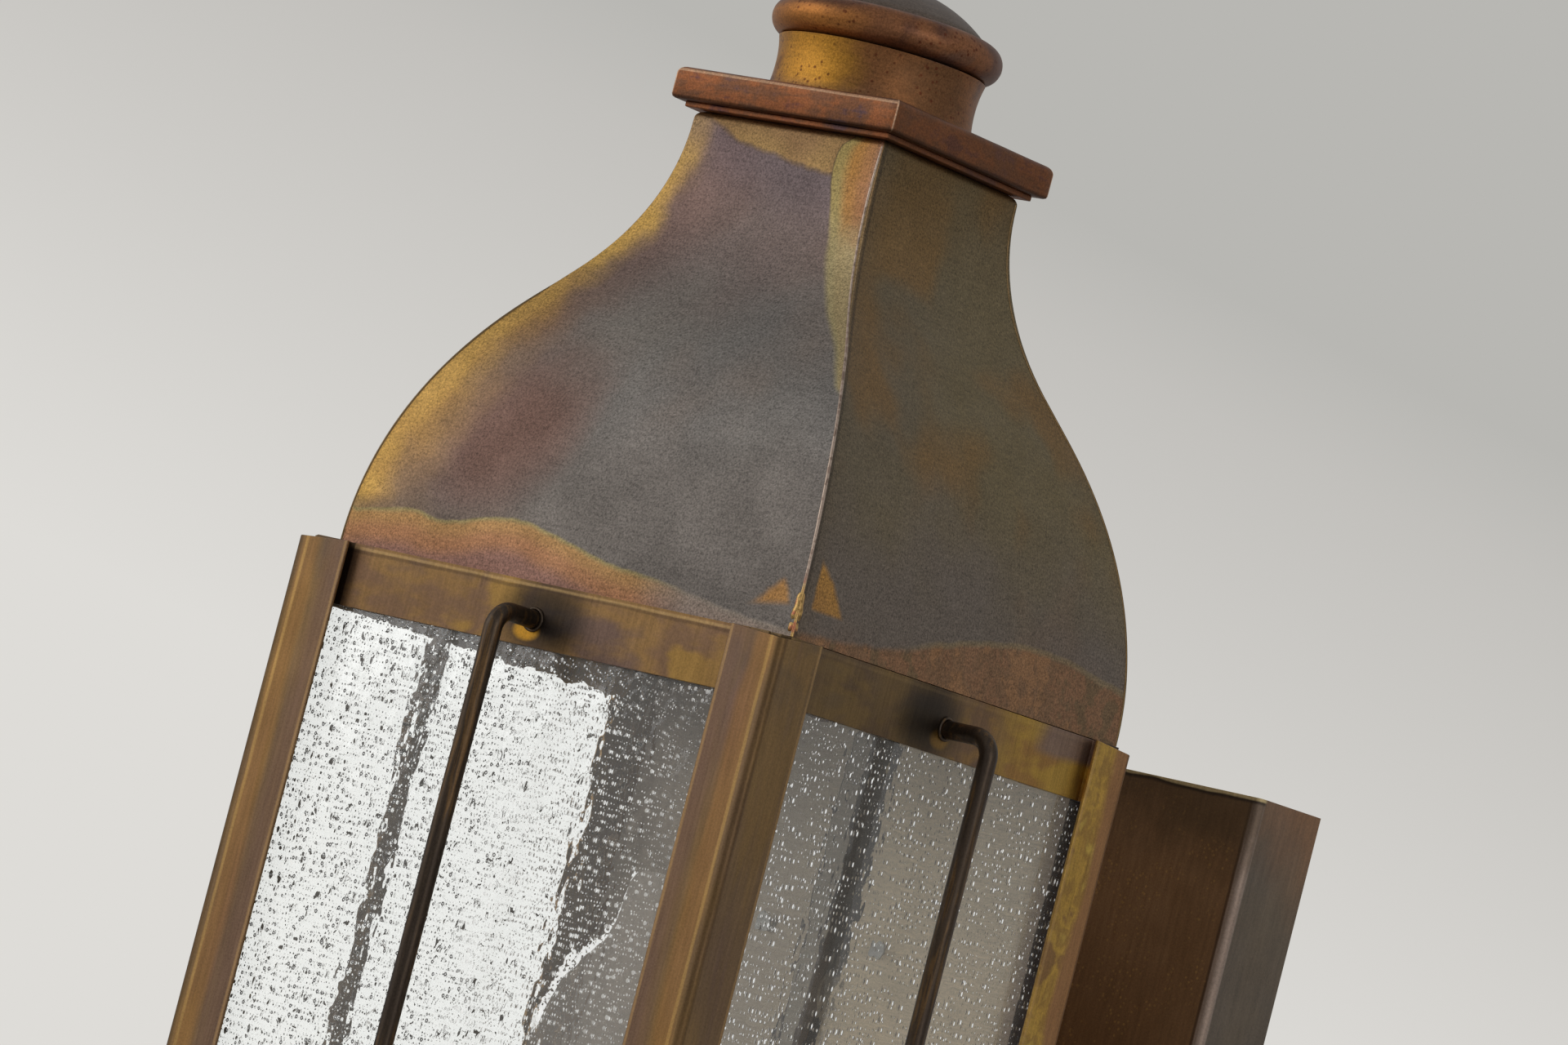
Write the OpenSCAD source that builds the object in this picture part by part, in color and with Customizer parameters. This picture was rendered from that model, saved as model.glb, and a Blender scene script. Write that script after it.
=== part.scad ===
// Wall lantern with an ogee roof, a chimney cap, seeded glass panes and guard rods, on a box arm and a
// pan-shaped back plate. The wall is the plane y = 0, the front looks along -y and +z is up.

/* [Body] */
// Width and depth of the body across its corner posts
body_w = 210; // [190:5:230]
// Height of the body from the feet of the posts to their tops
body_h = 244; // [232:4:300]
// Thickness of the sheet brass of posts, rails and back panel
sheet = 1.2; // [0.9:0.1:1.5]
// Width of each leg of a corner post
post_leg = 22; // [19:1:25]
// Outer bend radius of a corner post
post_bend = 2.2; // [2:0.2:3.4]
// Fall of a post's top end towards its corner
post_fall = 1.4; // [0.4:0.2:2.4]

/* [Rails] */
// Height of the rails above and below the panes
rail_h = 21.6; // [19:0.2:25]
// Distance from a post's outer face back to a rail's outer face
rail_set = 4.2; // [3.4:0.1:5]
// Width of the rails' inward flange
flange_w = 14; // [12:1:16]

/* [Glass] */
// Thickness of the seeded glass
glass_t = 3; // [2:0.5:3.5]
// Height by which a pane laps behind the top rail
glass_lap = 9; // [7:0.5:10]
// Width of a glass clip
clip_w = 10; // [6:1:16]
// Thickness of a glass clip's sheet
clip_t = 0.6; // [0.4:0.1:0.8]

/* [Guard rods] */
// Diameter of the guard rods
rod_d = 6.35; // [5:0.05:8]
// Distance from the posts' outer faces to a rod's axis
rod_out = 15.5; // [12:0.5:20]
// Distance from a rail's outer edge to the hook that enters it
hook_in = 12.5; // [10:0.5:14]
// Bend radius of a hook along its axis
hook_bend = 7; // [6:0.5:9]

/* [Roof] */
// Distance from the posts' outer faces in to the roof's lower edge
roof_inset = 7.3; // [6:0.1:12]
// Half width of the roof's throat under the cap plate
throat_half = 41; // [38:0.5:44]
// Height of the roof's panels
roof_h = 174; // [166:1:182]
// Length of the straight between the roof's outward and inward curves
roof_straight = 18.9; // [2:0.1:40]
// Share of the two curves' radii that belongs to the lower, outward one
belly_share = 0.610; // [0.5:0.002:0.7]
// Thickness of the roof's sheet
roof_t = 1; // [0.8:0.1:1.4]
// How far the lift-off roof sits off the body's centre, to the right and to the back
roof_shift = 2.8; // [0:0.2:3]
// Shadow gap between the roof's lower edge and the body
roof_gap = 0.3; // [0.3:0.1:0.9]
// Height by which a hip seam stands proud of the panels
seam_out = 0.6; // [0.4:0.1:1]
// Width of a hip seam
seam_w = 1.8; // [1.2:0.2:2.6]

/* [Chimney] */
// Distance by which the square cap plate stands out past the throat
cap_out = 6.7; // [5:0.1:10]
// Height of the cap plate
cap_h = 11.3; // [9:0.1:14]
// Radius of the cap plate's upper edges
cap_round = 2.4; // [1.8:0.2:4]
// Distance by which the closing plate stands out past the throat
liner_out = 3; // [1.5:0.1:4.5]
// Thickness of the closing plate
liner_t = 2; // [1.5:0.1:3]
// Radius of the neck at its waist
neck_r = 35.3; // [33:0.1:37]
// Height of the neck
neck_h = 19.8; // [17:0.1:24]
// Distance by which the chimney cap's rolled bead stands out past the neck
bead_over = 5.4; // [4:0.1:7]
// Radius of the bead's section
bead_r = 6.7; // [6:0.1:7]
// Rise of the dome over the middle of the bead
dome_rise = 19.4; // [16:0.2:23]
// Radius of the stem that the chimney cap screws on
stem_r = 3; // [2.5:0.5:4]

/* [Arm and back plate] */
// Width of the back plate
plate_w = 235; // [200:1:250]
// Height of the back plate
plate_h = 240; // [220:2:280]
// Depth of the back plate from the wall to its front
plate_depth = 40; // [34:1:48]
// Thickness of the back plate's sheet
plate_t = 1.5; // [1.2:0.1:2]
// Outer bend radius of the back plate's upright edges
plate_bend = 2.6; // [2.2:0.1:4]
// Clear distance from the body's posts to the back plate
body_gap = 67; // [50:1:90]
// Width of the box arm
arm_w = 60; // [50:2:80]
// Height of the box arm
arm_h = 80; // [66:2:100]
// Hole spacing of the wall strap, for a standard outlet box
box_spacing = 88.9; // [60:0.1:110]
// Distance between the studs that hold the back plate
stud_spacing = 150; // [140:2:170]

/* [Candles] */
// Distance from the body's middle to each candle's axis
candle_ring = 27; // [24:1:32]
// Height of the candle sleeves
sleeve_h = 50; // [40:1:60]
// Outer radius of the candle sleeves
sleeve_r = 11; // [10:0.5:12.5]
// Radius of the thread in the lamp sockets
socket_bore_r = 6; // [5:0.5:7]

/* [Hidden] */
$fn = 64;

// Overshoot of a cut past the face that it opens
cut = 1;
// Clearance of a piece that seats on or beside another
seat = 0.3;
// Radial clearance of a pin or screw in its hole
hole_play = 0.05;
// Clearance that the solder fills in a let-in joint
solder_gap = 0.1;

body_y = -(plate_depth + body_gap + body_w / 2);
body_top = body_h / 2;
post_face = body_w / 2;
rail_face = post_face - rail_set;
rail_back = rail_face - sheet;
lap_face = post_face - sheet;
glass_face = rail_back - seat;
glass_back = glass_face - glass_t;
panel_back = rail_back - sheet;
floor_t = 1.5;
floor_top = -body_top + sheet + floor_t;
floor_half = glass_back - 0.8;
pane_half = glass_back - 1.3;
pane_foot = -body_top + sheet + seat;
pane_top = body_top - rail_h + glass_lap;
step_half = post_face - post_leg + 4;
lap_half = post_face - post_bend - 5;

roof_z = body_top + roof_gap;
roof_half = post_face - roof_inset;
shoulder_r = 3;
collar_h = 0.3;
curve_h = roof_h - shoulder_r - collar_h;
roof_lean = 2 * atan((roof_half - throat_half) / (curve_h + roof_straight));
curve_radii = (curve_h - roof_straight * cos(roof_lean)) / sin(roof_lean);
belly_r = belly_share * curve_radii;
throat_r = curve_radii - belly_r;
cap_half = throat_half + cap_out;
liner_half = throat_half + liner_out;
bead_out = neck_r + bead_over;
vent_r = neck_r - 7.3;
bar_t = 3;
bar_w = 20;
bar_top = body_top - sheet;
bar_screw_x = rail_face - flange_w + 3.6;
shield_lift = 22;
shield_z = roof_z + shield_lift;
shield_half = 58;

arm_front = body_y + rail_back;
arm_wall = 1.5;
arm_flange = 8;
arm_end_t = 2;
arm_screw_x = arm_w / 2 - 5;
arm_screw_z = arm_h / 2 - 5;
screw_r = 1.6;
screw_head_r = 3;
screw_head_h = 2;
wire_hole_r = 8;

strap_w = 26;
strap_t = 2.5;
stud_r = 2.4;
slot_r = 2.4;
slot_len = 14;
stud_out = 7;
cap_nut_bore = stud_out + 1.5;
cap_nut_rim_r = 7.4;
channel_w = 9;
channel_deep = 6;
channel_wall = 0.8;

cluster_base = floor_top;
cup_h = 18;
disc_t = 2.5;
disc_r = candle_ring + sleeve_r + 3;
disc_z = cluster_base + cup_h;
candle_z = disc_z + disc_t;
nipple_r = 5;
socket_r = sleeve_r - 1.6;
socket_h = sleeve_h - 3;
socket_bore_h = 18;

BRASS = [0.50, 0.37, 0.20];
ROOF = [0.43, 0.37, 0.31];
COPPER = [0.47, 0.28, 0.18];
BRONZE = [0.23, 0.17, 0.11];
STEEL = [0.62, 0.62, 0.60];
GLASS = [0.80, 0.85, 0.85, 0.4];
IVORY = [0.86, 0.82, 0.70];
RUBBER = [0.10, 0.10, 0.10];

// Moves a piece from the body's own axes to its place in front of the wall
module at_body(turn = 0) {
    translate([0, body_y, 0]) rotate([0, 0, turn]) children();
}

// Moves a piece from the roof's own axes, with its lower edge at z = 0, to its place
module at_roof(turn = 0) {
    translate([roof_shift, body_y + roof_shift, roof_z]) rotate([0, 0, turn]) children();
}

// Hexagonal nut with a bore, standing on z = 0
module hex_nut(across, height, bore) {
    difference() {
        cylinder(h = height, r = across / 2 / cos(30), $fn = 6);
        translate([0, 0, -cut]) cylinder(h = height + 2 * cut, r = bore);
    }
}

// Pan-head screw along -y, with the underside of its head at y = 0
module pan_screw(r, head_r, head_h, length) {
    rotate([90, 0, 0]) union() {
        cylinder(h = length, r = r);
        translate([0, 0, -head_h]) difference() {
            cylinder(h = head_h, r = head_r);
            translate([-head_r, -0.4, -cut]) cube([2 * head_r, 0.8, cut + 0.7]);
        }
    }
}

// Back plate: a sheet folded into a pan with rounded upright edges
module plate_outline(wall) {
    half = plate_w / 2 - wall;
    bend = plate_bend - wall;
    union() {
        translate([-half, -plate_depth + plate_bend]) square([2 * half, plate_depth - plate_bend]);
        translate([-half + bend, -plate_depth + wall]) square([2 * (half - bend), plate_depth - wall]);
        for (side = [-1, 1])
            translate([side * (half - bend), -plate_depth + plate_bend]) circle(bend);
    }
}

module back_plate() {
    color(BRONZE) difference() {
        translate([0, 0, -plate_h / 2]) linear_extrude(plate_h) difference() {
            plate_outline(0);
            union() {
                plate_outline(plate_t);
                translate([-plate_w / 2 + plate_t, -cut]) square([plate_w - 2 * plate_t, 2 * cut]);
            }
        }
        for (end = [-1, 1])
            translate([0, -plate_depth - cut, end * stud_spacing / 2]) rotate([-90, 0, 0])
                cylinder(h = plate_t + 2 * cut, r = stud_r + 0.4);
        translate([0, -plate_depth - cut, 0]) rotate([-90, 0, 0])
            cylinder(h = plate_t + 2 * cut, r = wire_hole_r);
        for (x = [-arm_screw_x, arm_screw_x], z = [-arm_screw_z, arm_screw_z])
            translate([x, -plate_depth - cut, z]) rotate([-90, 0, 0])
                cylinder(h = plate_t + 2 * cut, r = screw_r + hole_play);
    }
}

// Top and bottom closures of the pan, let in between its folded sides
module back_plate_ends() {
    color(BRONZE) for (end = [-1, 1])
        translate([0, 0, end * (plate_h - plate_t) / 2 - plate_t / 2])
            linear_extrude(plate_t) plate_outline(plate_t + solder_gap);
}

module slot(length, r, depth) {
    linear_extrude(depth) union() {
        square([2 * r, length - 2 * r], center = true);
        for (end = [-1, 1]) translate([0, end * (length / 2 - r)]) circle(r);
    }
}

module wall_strap() {
    strap_h = stud_spacing + strap_w;
    color(STEEL) difference() {
        translate([-strap_w / 2, -strap_t, -strap_h / 2]) cube([strap_w, strap_t, strap_h]);
        for (end = [-1, 1]) {
            translate([0, cut, end * box_spacing / 2]) rotate([90, 0, 0])
                slot(slot_len, slot_r, strap_t + 2 * cut);
            translate([0, cut, end * stud_spacing / 2]) rotate([90, 0, 0])
                cylinder(h = strap_t + 2 * cut, r = stud_r + hole_play);
        }
        translate([0, cut, -strap_h / 8]) rotate([90, 0, 0])
            cylinder(h = strap_t + 2 * cut, r = screw_r + hole_play);
    }
}

// Studs that stand on the strap, each with its lock nut
module strap_studs() {
    color(STEEL) for (end = [-1, 1]) translate([0, 0, end * stud_spacing / 2]) rotate([90, 0, 0]) {
        cylinder(h = plate_depth + stud_out, r = stud_r);
        translate([0, 0, strap_t]) hex_nut(8, 3, stud_r);
    }
}

// Domed cap nut on the front of the back plate
module cap_nut(end) {
    color(BRONZE) translate([0, -plate_depth, end * stud_spacing / 2]) rotate([90, 0, 0]) difference() {
        union() {
            cylinder(h = 1.2, r = cap_nut_rim_r);
            translate([0, 0, 1.2]) cylinder(h = 5, r = 6);
            intersection() {
                translate([0, 0, 6.2]) sphere(6);
                translate([0, 0, 6.2]) cylinder(h = 6, r = 7);
            }
        }
        translate([0, 0, -cut]) cylinder(h = cap_nut_bore + cut, r = stud_r + hole_play);
    }
}

module ground_screw() {
    color([0.2, 0.45, 0.25]) translate([0, -strap_t, -(stud_spacing + strap_w) / 8]) rotate([0, 0, 180])
        rotate([90, 0, 0]) union() {
            cylinder(h = strap_t, r = screw_r);
            translate([0, 0, -3]) cylinder(h = 3, r = 4, $fn = 6);
        }
}

// Box arm: a square tube with inward flanges at both ends for its screws
module box_arm() {
    length = -plate_depth - arm_front;
    color(BRASS) difference() {
        translate([-arm_w / 2, arm_front, -arm_h / 2]) cube([arm_w, length, arm_h]);
        translate([-arm_w / 2 + arm_wall, arm_front + arm_end_t, -arm_h / 2 + arm_wall])
            cube([arm_w - 2 * arm_wall, length - 2 * arm_end_t, arm_h - 2 * arm_wall]);
        translate([-arm_w / 2 + arm_flange, arm_front - cut, -arm_h / 2 + arm_flange])
            cube([arm_w - 2 * arm_flange, length + 2 * cut, arm_h - 2 * arm_flange]);
        for (x = [-arm_screw_x, arm_screw_x], z = [-arm_screw_z, arm_screw_z])
            translate([x, arm_front - cut, z]) rotate([-90, 0, 0])
                cylinder(h = length + 2 * cut, r = screw_r + hole_play);
    }
}

// Four screws from inside the body into the arm's front flange
module arm_front_screws() {
    color(STEEL) for (x = [-arm_screw_x, arm_screw_x], z = [-arm_screw_z, arm_screw_z])
        translate([x, arm_front - sheet, z]) rotate([0, 0, 180])
            pan_screw(screw_r, screw_head_r, screw_head_h, sheet + arm_end_t + 2);
}

// Four screws from inside the pan into the arm's rear flange
module arm_rear_screws() {
    color(STEEL) for (x = [-arm_screw_x, arm_screw_x], z = [-arm_screw_z, arm_screw_z])
        translate([x, -plate_depth + plate_t, z])
            pan_screw(screw_r, screw_head_r, screw_head_h, plate_t + arm_end_t + 2);
}

module back_panel() {
    color(BRASS) at_body() difference() {
        translate([-pane_half, panel_back, -body_top + sheet])
            cube([2 * pane_half, sheet, pane_top + body_top - sheet]);
        translate([0, panel_back - cut, 0]) rotate([-90, 0, 0])
            cylinder(h = sheet + 2 * cut, r = wire_hole_r);
        for (x = [-arm_screw_x, arm_screw_x], z = [-arm_screw_z, arm_screw_z])
            translate([x, panel_back - cut, z]) rotate([-90, 0, 0])
                cylinder(h = sheet + 2 * cut, r = screw_r + hole_play);
    }
}

// Grommet that lines the wire hole of the back panel
module wire_grommet() {
    lip = 1.2;
    color(RUBBER) at_body() translate([0, panel_back - lip, 0]) rotate([-90, 0, 0])
        rotate_extrude() difference() {
            union() {
                translate([wire_hole_r - 3, 0]) square([3 - seat / 3, sheet + 2 * lip]);
                for (z = [0, sheet + lip])
                    translate([wire_hole_r - 3, z]) square([4.5, lip]);
            }
            translate([wire_hole_r - 3, sheet / 2 + lip]) circle(0.6);
        }
}

// Channel that hides the wires on the inside of the back panel
module wire_channel() {
    tall = pane_top - floor_top - 10 * seat;
    grommet_lip_r = wire_hole_r + 1.5 + seat;
    color(BRONZE) at_body() difference() {
        translate([-channel_w / 2, panel_back - channel_deep, floor_top + seat])
            cube([channel_w, channel_deep, tall]);
        translate([-channel_w / 2 + channel_wall, panel_back - channel_deep + channel_wall, floor_top - cut])
            cube([channel_w - 2 * channel_wall, channel_deep, tall + 4 * cut]);
        translate([0, panel_back + cut, 0]) rotate([90, 0, 0])
            cylinder(h = cut + 1.6, r = grommet_lip_r);
    }
}

// Section of a corner post, with the outer corner at the origin
module angle_outline(leg, wall, bend) {
    difference() {
        union() {
            translate([bend, 0]) square([leg - bend, wall]);
            translate([0, bend]) square([wall, leg - bend]);
            intersection() {
                square(bend);
                translate([bend, bend]) circle(bend);
            }
        }
        translate([bend, bend]) circle(bend - wall);
    }
}

// Corner post: a bent angle whose top end falls towards the corner
module corner_post(turn) {
    tilt = atan(post_fall * sqrt(2) / post_leg);
    color(BRASS) at_body(turn) translate([-post_face, -post_face, -body_top]) difference() {
        linear_extrude(body_h) angle_outline(post_leg, sheet, post_bend);
        translate([0, 0, body_h - post_fall]) rotate(a = tilt, v = [1, -1, 0])
            translate([-body_w, -body_w, 0]) cube([2 * body_w, 2 * body_w, post_leg]);
    }
}

// Section of a rail seen from above: the web, stepped out at its ends to lie behind the posts
module rail_plan() {
    union() {
        translate([-step_half, -rail_face]) square([2 * step_half, sheet]);
        for (side = [-1, 1]) {
            translate([side * (step_half - sheet / 2) - sheet / 2, -lap_face])
                square([sheet, lap_face - rail_back]);
            translate([side > 0 ? step_half - sheet : -lap_half, -lap_face])
                square([lap_half - step_half + sheet, sheet]);
        }
    }
}

// Rail of one side: web, mitred flange along its outer edge, the rod's hole and the roof bar's screw hole
module rail(turn, top, holed, bar_side = 0) {
    color(BRASS) at_body(turn) mirror([0, 0, top ? 0 : 1]) difference() {
        union() {
            translate([0, 0, body_top - rail_h]) linear_extrude(rail_h) rail_plan();
            translate([0, 0, body_top - sheet]) linear_extrude(sheet) polygon([
                [-rail_face, -rail_face], [rail_face, -rail_face],
                [rail_face - flange_w, flange_w - rail_face], [flange_w - rail_face, flange_w - rail_face]
            ]);
        }
        if (holed) translate([0, -rail_face - cut, body_top - hook_in]) rotate([-90, 0, 0])
            cylinder(h = sheet + 2 * cut, r = rod_d / 2 + hole_play);
        if (bar_side != 0) translate([bar_side * roof_shift, -bar_screw_x, body_top - sheet - cut])
            cylinder(h = sheet + 2 * cut, r = screw_r + hole_play);
    }
}

module floor_plate() {
    vent_ring = floor_half * 0.72;
    color(BRASS) at_body() translate([0, 0, floor_top - floor_t]) difference() {
        translate([-floor_half, -floor_half, 0]) cube([2 * floor_half, 2 * floor_half, floor_t]);
        translate([0, 0, -cut]) cylinder(h = floor_t + 2 * cut, r = nipple_r + hole_play);
        for (x = [-vent_ring, vent_ring], y = [-vent_ring, vent_ring])
            translate([x, y, -cut]) cylinder(h = floor_t + 2 * cut, r = 4);
    }
}

module pane(turn) {
    color(GLASS) at_body(turn) translate([-pane_half, -glass_face, pane_foot])
        cube([2 * pane_half, glass_t, pane_top - pane_foot]);
}

// Clips of one pane: two bent tongues from the top rail and two angles on the floor
module pane_clips() {
    clip_x = pane_half * 0.62;
    tongue_face = glass_back - seat;
    pad_h = 6;
    foot = 8;
    for (x = [-clip_x, clip_x]) {
        translate([x - clip_w / 2, -rail_back, pane_top + seat]) union() {
            cube([clip_w, clip_t, pad_h]);
            cube([clip_w, rail_back - tongue_face + clip_t, clip_t]);
        }
        translate([x - clip_w / 2, -tongue_face, pane_top - glass_lap])
            cube([clip_w, clip_t, glass_lap + seat + clip_t]);
        translate([x - clip_w / 2, -tongue_face, floor_top]) union() {
            cube([clip_w, clip_t, foot]);
            cube([clip_w, foot, clip_t]);
        }
    }
}

module glass_clips() {
    color(BRASS) at_body() for (turn = [0, 90, 270]) rotate([0, 0, turn]) pane_clips();
}

// Half of a guard rod from its middle up to the hook that enters the rail
module half_rod() {
    rod_r = rod_d / 2;
    rod_y = -(post_face + rod_out);
    top = body_top - hook_in;
    translate([0, rod_y, 0]) cylinder(h = top - hook_bend, r = rod_r);
    translate([0, rod_y + hook_bend, top - hook_bend]) rotate([90, 0, -90]) rotate([0, 0, 0])
        rotate_extrude(angle = 90) translate([hook_bend, 0]) circle(rod_r);
    translate([0, rod_y + hook_bend, top]) rotate([-90, 0, 0])
        cylinder(h = -rail_back - rod_y - hook_bend, r = rod_r);
    translate([0, -rail_face - 1, top]) rotate([-90, 0, 0]) cylinder(h = 1, r = rod_r + 1.3);
}

module guard_rod(turn) {
    color(BRONZE) at_body(turn) union() {
        half_rod();
        mirror([0, 0, 1]) half_rod();
    }
}

// Bar under the top rails that carries the stem
module roof_bar() {
    bar_half = rail_back - seat;
    color(STEEL) at_body() difference() {
        translate([-bar_half, roof_shift - bar_w / 2, bar_top - bar_t]) cube([2 * bar_half, bar_w, bar_t]);
        translate([roof_shift, roof_shift, bar_top - bar_t - cut])
            cylinder(h = bar_t + 2 * cut, r = stem_r + hole_play);
        for (side = [-1, 1])
            translate([side * bar_screw_x, roof_shift, bar_top - bar_t - cut])
                cylinder(h = bar_t + 2 * cut, r = screw_r + hole_play);
    }
}

module bar_screws() {
    color(STEEL) at_body() for (side = [-1, 1])
        translate([side * bar_screw_x, roof_shift, body_top]) rotate([90, 0, 0])
            pan_screw(screw_r, 2.6, 1.6, sheet + bar_t + 2);
}

module roof_stem() {
    color(STEEL) at_body() translate([roof_shift, roof_shift, bar_top - bar_t - 8])
        cylinder(h = bar_t + 8 + roof_gap + sheet + dome_bottom() - 1, r = stem_r);
}

// Nuts on the stem: below and above the bar, and below and above the heat shield
module stem_nuts() {
    nut_h = 5;
    color(STEEL) at_body() translate([roof_shift, roof_shift, 0])
        for (z = [bar_top - bar_t - nut_h, bar_top, shield_z - nut_h, shield_z + 1])
            translate([0, 0, z]) hex_nut(11, nut_h, stem_r);
}

// Shallow pan that keeps the lamps' heat off the roof
module heat_shield() {
    lip = 6;
    color(STEEL) at_body() translate([roof_shift, roof_shift, shield_z]) difference() {
        translate([-shield_half, -shield_half, -lip]) cube([2 * shield_half, 2 * shield_half, lip + 1]);
        translate([-shield_half + 1, -shield_half + 1, -lip - cut])
            cube([2 * shield_half - 2, 2 * shield_half - 2, lip + cut]);
        translate([0, 0, -cut]) cylinder(h = 3, r = stem_r + hole_play);
    }
}

// Half of the roof's upright section, from its axis to a face that lies inset inside the sheet's outer face
module ogee_section(inset) {
    foot = roof_half - inset;
    low_r = belly_r - inset;
    high_r = throat_r + inset;
    low_x = foot - low_r;
    knee = [low_x + low_r * cos(roof_lean), low_r * sin(roof_lean)];
    high_c = throat_half - inset + high_r;
    throat_x = high_c - high_r * cos(roof_lean);
    throat_z = curve_h - high_r * sin(roof_lean);
    top = roof_h - inset;
    round_r = shoulder_r - inset;
    lap = 3;
    below = inset > 0 ? cut : 0;
    union() {
        intersection() {
            translate([low_x, 0]) circle(low_r, $fn = 180);
            translate([0, -below]) square([foot, knee[1] + below]);
        }
        polygon([
            [0, knee[1] - lap], [knee[0] - lap, knee[1] - lap], knee, [throat_x, throat_z],
            [throat_x - 1.5 * lap, throat_z + lap], [0, throat_z + lap]
        ]);
        difference() {
            translate([0, throat_z]) square([throat_x, curve_h - throat_z]);
            translate([high_c, curve_h]) circle(high_r, $fn = 180);
        }
        translate([0, curve_h - lap]) square([throat_half - inset, top - round_r - curve_h + lap]);
        translate([0, top - round_r - lap]) square([throat_half - inset - round_r, round_r + lap]);
        translate([throat_half - inset - round_r, top - round_r]) circle(round_r);
    }
}

// The ogee section run straight through the roof, facing -y
module ogee_run(inset) {
    rotate([90, 0, -90]) translate([0, 0, -roof_half - 5]) linear_extrude(2 * roof_half + 10)
        ogee_section(inset);
}

// Wedge between the two mitre planes of the panel that faces -y
module mitre_wedge() {
    reach = roof_half + 10;
    translate([0, 0, -5]) linear_extrude(roof_h + 10) polygon([[0, 0], [-reach, -reach], [reach, -reach]]);
}

// One ogee panel, mitred to its neighbours along the hips
module roof_panel(turn) {
    color(ROOF) at_roof(turn) difference() {
        intersection() {
            difference() {
                ogee_run(0);
                ogee_run(roof_t);
            }
            mitre_wedge();
        }
        translate([0, 0, roof_h - 10]) cylinder(h = 20, r = vent_r);
    }
}

// Four-sided ogee solid whose faces lie inset inside the panels' outer faces
module ogee_solid(inset) {
    intersection() {
        union() {
            ogee_run(inset);
            rotate([0, 0, 180]) ogee_run(inset);
        }
        rotate([0, 0, 90]) union() {
            ogee_run(inset);
            rotate([0, 0, 180]) ogee_run(inset);
        }
    }
}

// Soldered seams that stand proud along the four hips
module hip_seams() {
    color(BRASS) at_roof() for (turn = [45, 135, 225, 315])
        intersection() {
            difference() {
                ogee_solid(-seam_out);
                ogee_solid(0);
            }
            rotate([0, 0, turn]) translate([0, -seam_w / 2, 0])
                cube([2 * roof_half, seam_w, curve_h - seat]);
        }
}

module cap_liner() {
    color(COPPER) at_roof() translate([0, 0, roof_h]) difference() {
        translate([-liner_half, -liner_half, 0]) cube([2 * liner_half, 2 * liner_half, liner_t]);
        translate([0, 0, -cut]) cylinder(h = liner_t + 2 * cut, r = vent_r);
    }
}

// Block with rounded upper edges on two opposite sides
module eased_block(half, height, round_r) {
    rotate([90, 0, 0]) translate([0, 0, -half]) linear_extrude(2 * half) union() {
        translate([-half, 0]) square([2 * half, height - round_r]);
        translate([-half + round_r, 0]) square([2 * (half - round_r), height]);
        for (side = [-1, 1]) translate([side * (half - round_r), height - round_r]) circle(round_r);
    }
}

// Cap plate: a mitred tray with eased upper edges, whose hem lies on the closing plate
module cap_plate() {
    wall = 1.5;
    hem_half = liner_half - 5;
    color(COPPER) at_roof() translate([0, 0, roof_h + liner_t]) difference() {
        intersection() {
            eased_block(cap_half, cap_h, cap_round);
            rotate([0, 0, 90]) eased_block(cap_half, cap_h, cap_round);
        }
        translate([-cap_half + wall, -cap_half + wall, wall])
            cube([2 * (cap_half - wall), 2 * (cap_half - wall), cap_h - 2 * wall]);
        translate([-hem_half, -hem_half, -cut]) cube([2 * hem_half, 2 * hem_half, wall + 2 * cut]);
        translate([0, 0, -cut]) cylinder(h = cap_h + 2 * cut, r = vent_r);
    }
}

// Spun neck with a slight waist
module chimney_neck() {
    wall = 1.4;
    waist_r = 56;
    flare = 1.1;
    color(BRASS) at_roof() translate([0, 0, roof_h + liner_t + cap_h]) rotate_extrude() difference() {
        union() {
            translate([neck_r - wall, 0]) square([wall + flare, neck_h]);
            translate([neck_r - wall, 0]) square([wall + 2.4, 1.2]);
        }
        translate([neck_r + waist_r, neck_h / 2 + 0.6]) intersection() {
            circle(waist_r, $fn = 180);
            translate([-waist_r, -neck_h / 2 + 0.6]) square([waist_r, neck_h]);
        }
    }
}

function bead_z() = roof_h + liner_t + cap_h + neck_h + seat + bead_r;
function dome_bottom() = bead_z() + dome_rise - 6;

// Chimney cap: a rolled bead under a shallow dome, with a threaded boss for the stem
module chimney_cap() {
    bead_c = bead_out - bead_r;
    skin = 1.4;
    dome_edge = bead_c - 1.6;
    dome_foot = bead_r + 0.9;
    rise = dome_rise - dome_foot;
    dome_r = (dome_edge * dome_edge + rise * rise) / (2 * rise);
    boss_r = 8;
    color(BRASS) at_roof() translate([0, 0, bead_z()]) difference() {
        rotate_extrude() union() {
            translate([bead_c, 0]) circle(bead_r);
            intersection() {
                difference() {
                    translate([0, dome_rise - dome_r]) circle(dome_r, $fn = 180);
                    translate([0, dome_rise - dome_r]) circle(dome_r - skin, $fn = 180);
                }
                translate([0, bead_r - 2.2]) square([dome_edge, dome_rise]);
            }
            translate([0, -bead_r]) square([boss_r, dome_rise + bead_r - skin / 2 - 0.4]);
        }
        translate([0, 0, -bead_r - cut]) cylinder(h = bead_r + cut + dome_rise - 5, r = stem_r + hole_play);
    }
}

module cluster_nut() {
    color(STEEL) at_body() translate([0, 0, floor_top - floor_t - 5]) hex_nut(14, 5, nipple_r);
}

module cluster_nipple() {
    color(STEEL) at_body() translate([0, 0, floor_top - floor_t - 7]) difference() {
        cylinder(h = floor_t + cup_h + disc_t + 13, r = nipple_r);
        translate([0, 0, -cut]) cylinder(h = floor_t + cup_h + disc_t + 13 + 2 * cut, r = nipple_r - 1.2);
    }
}

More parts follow.
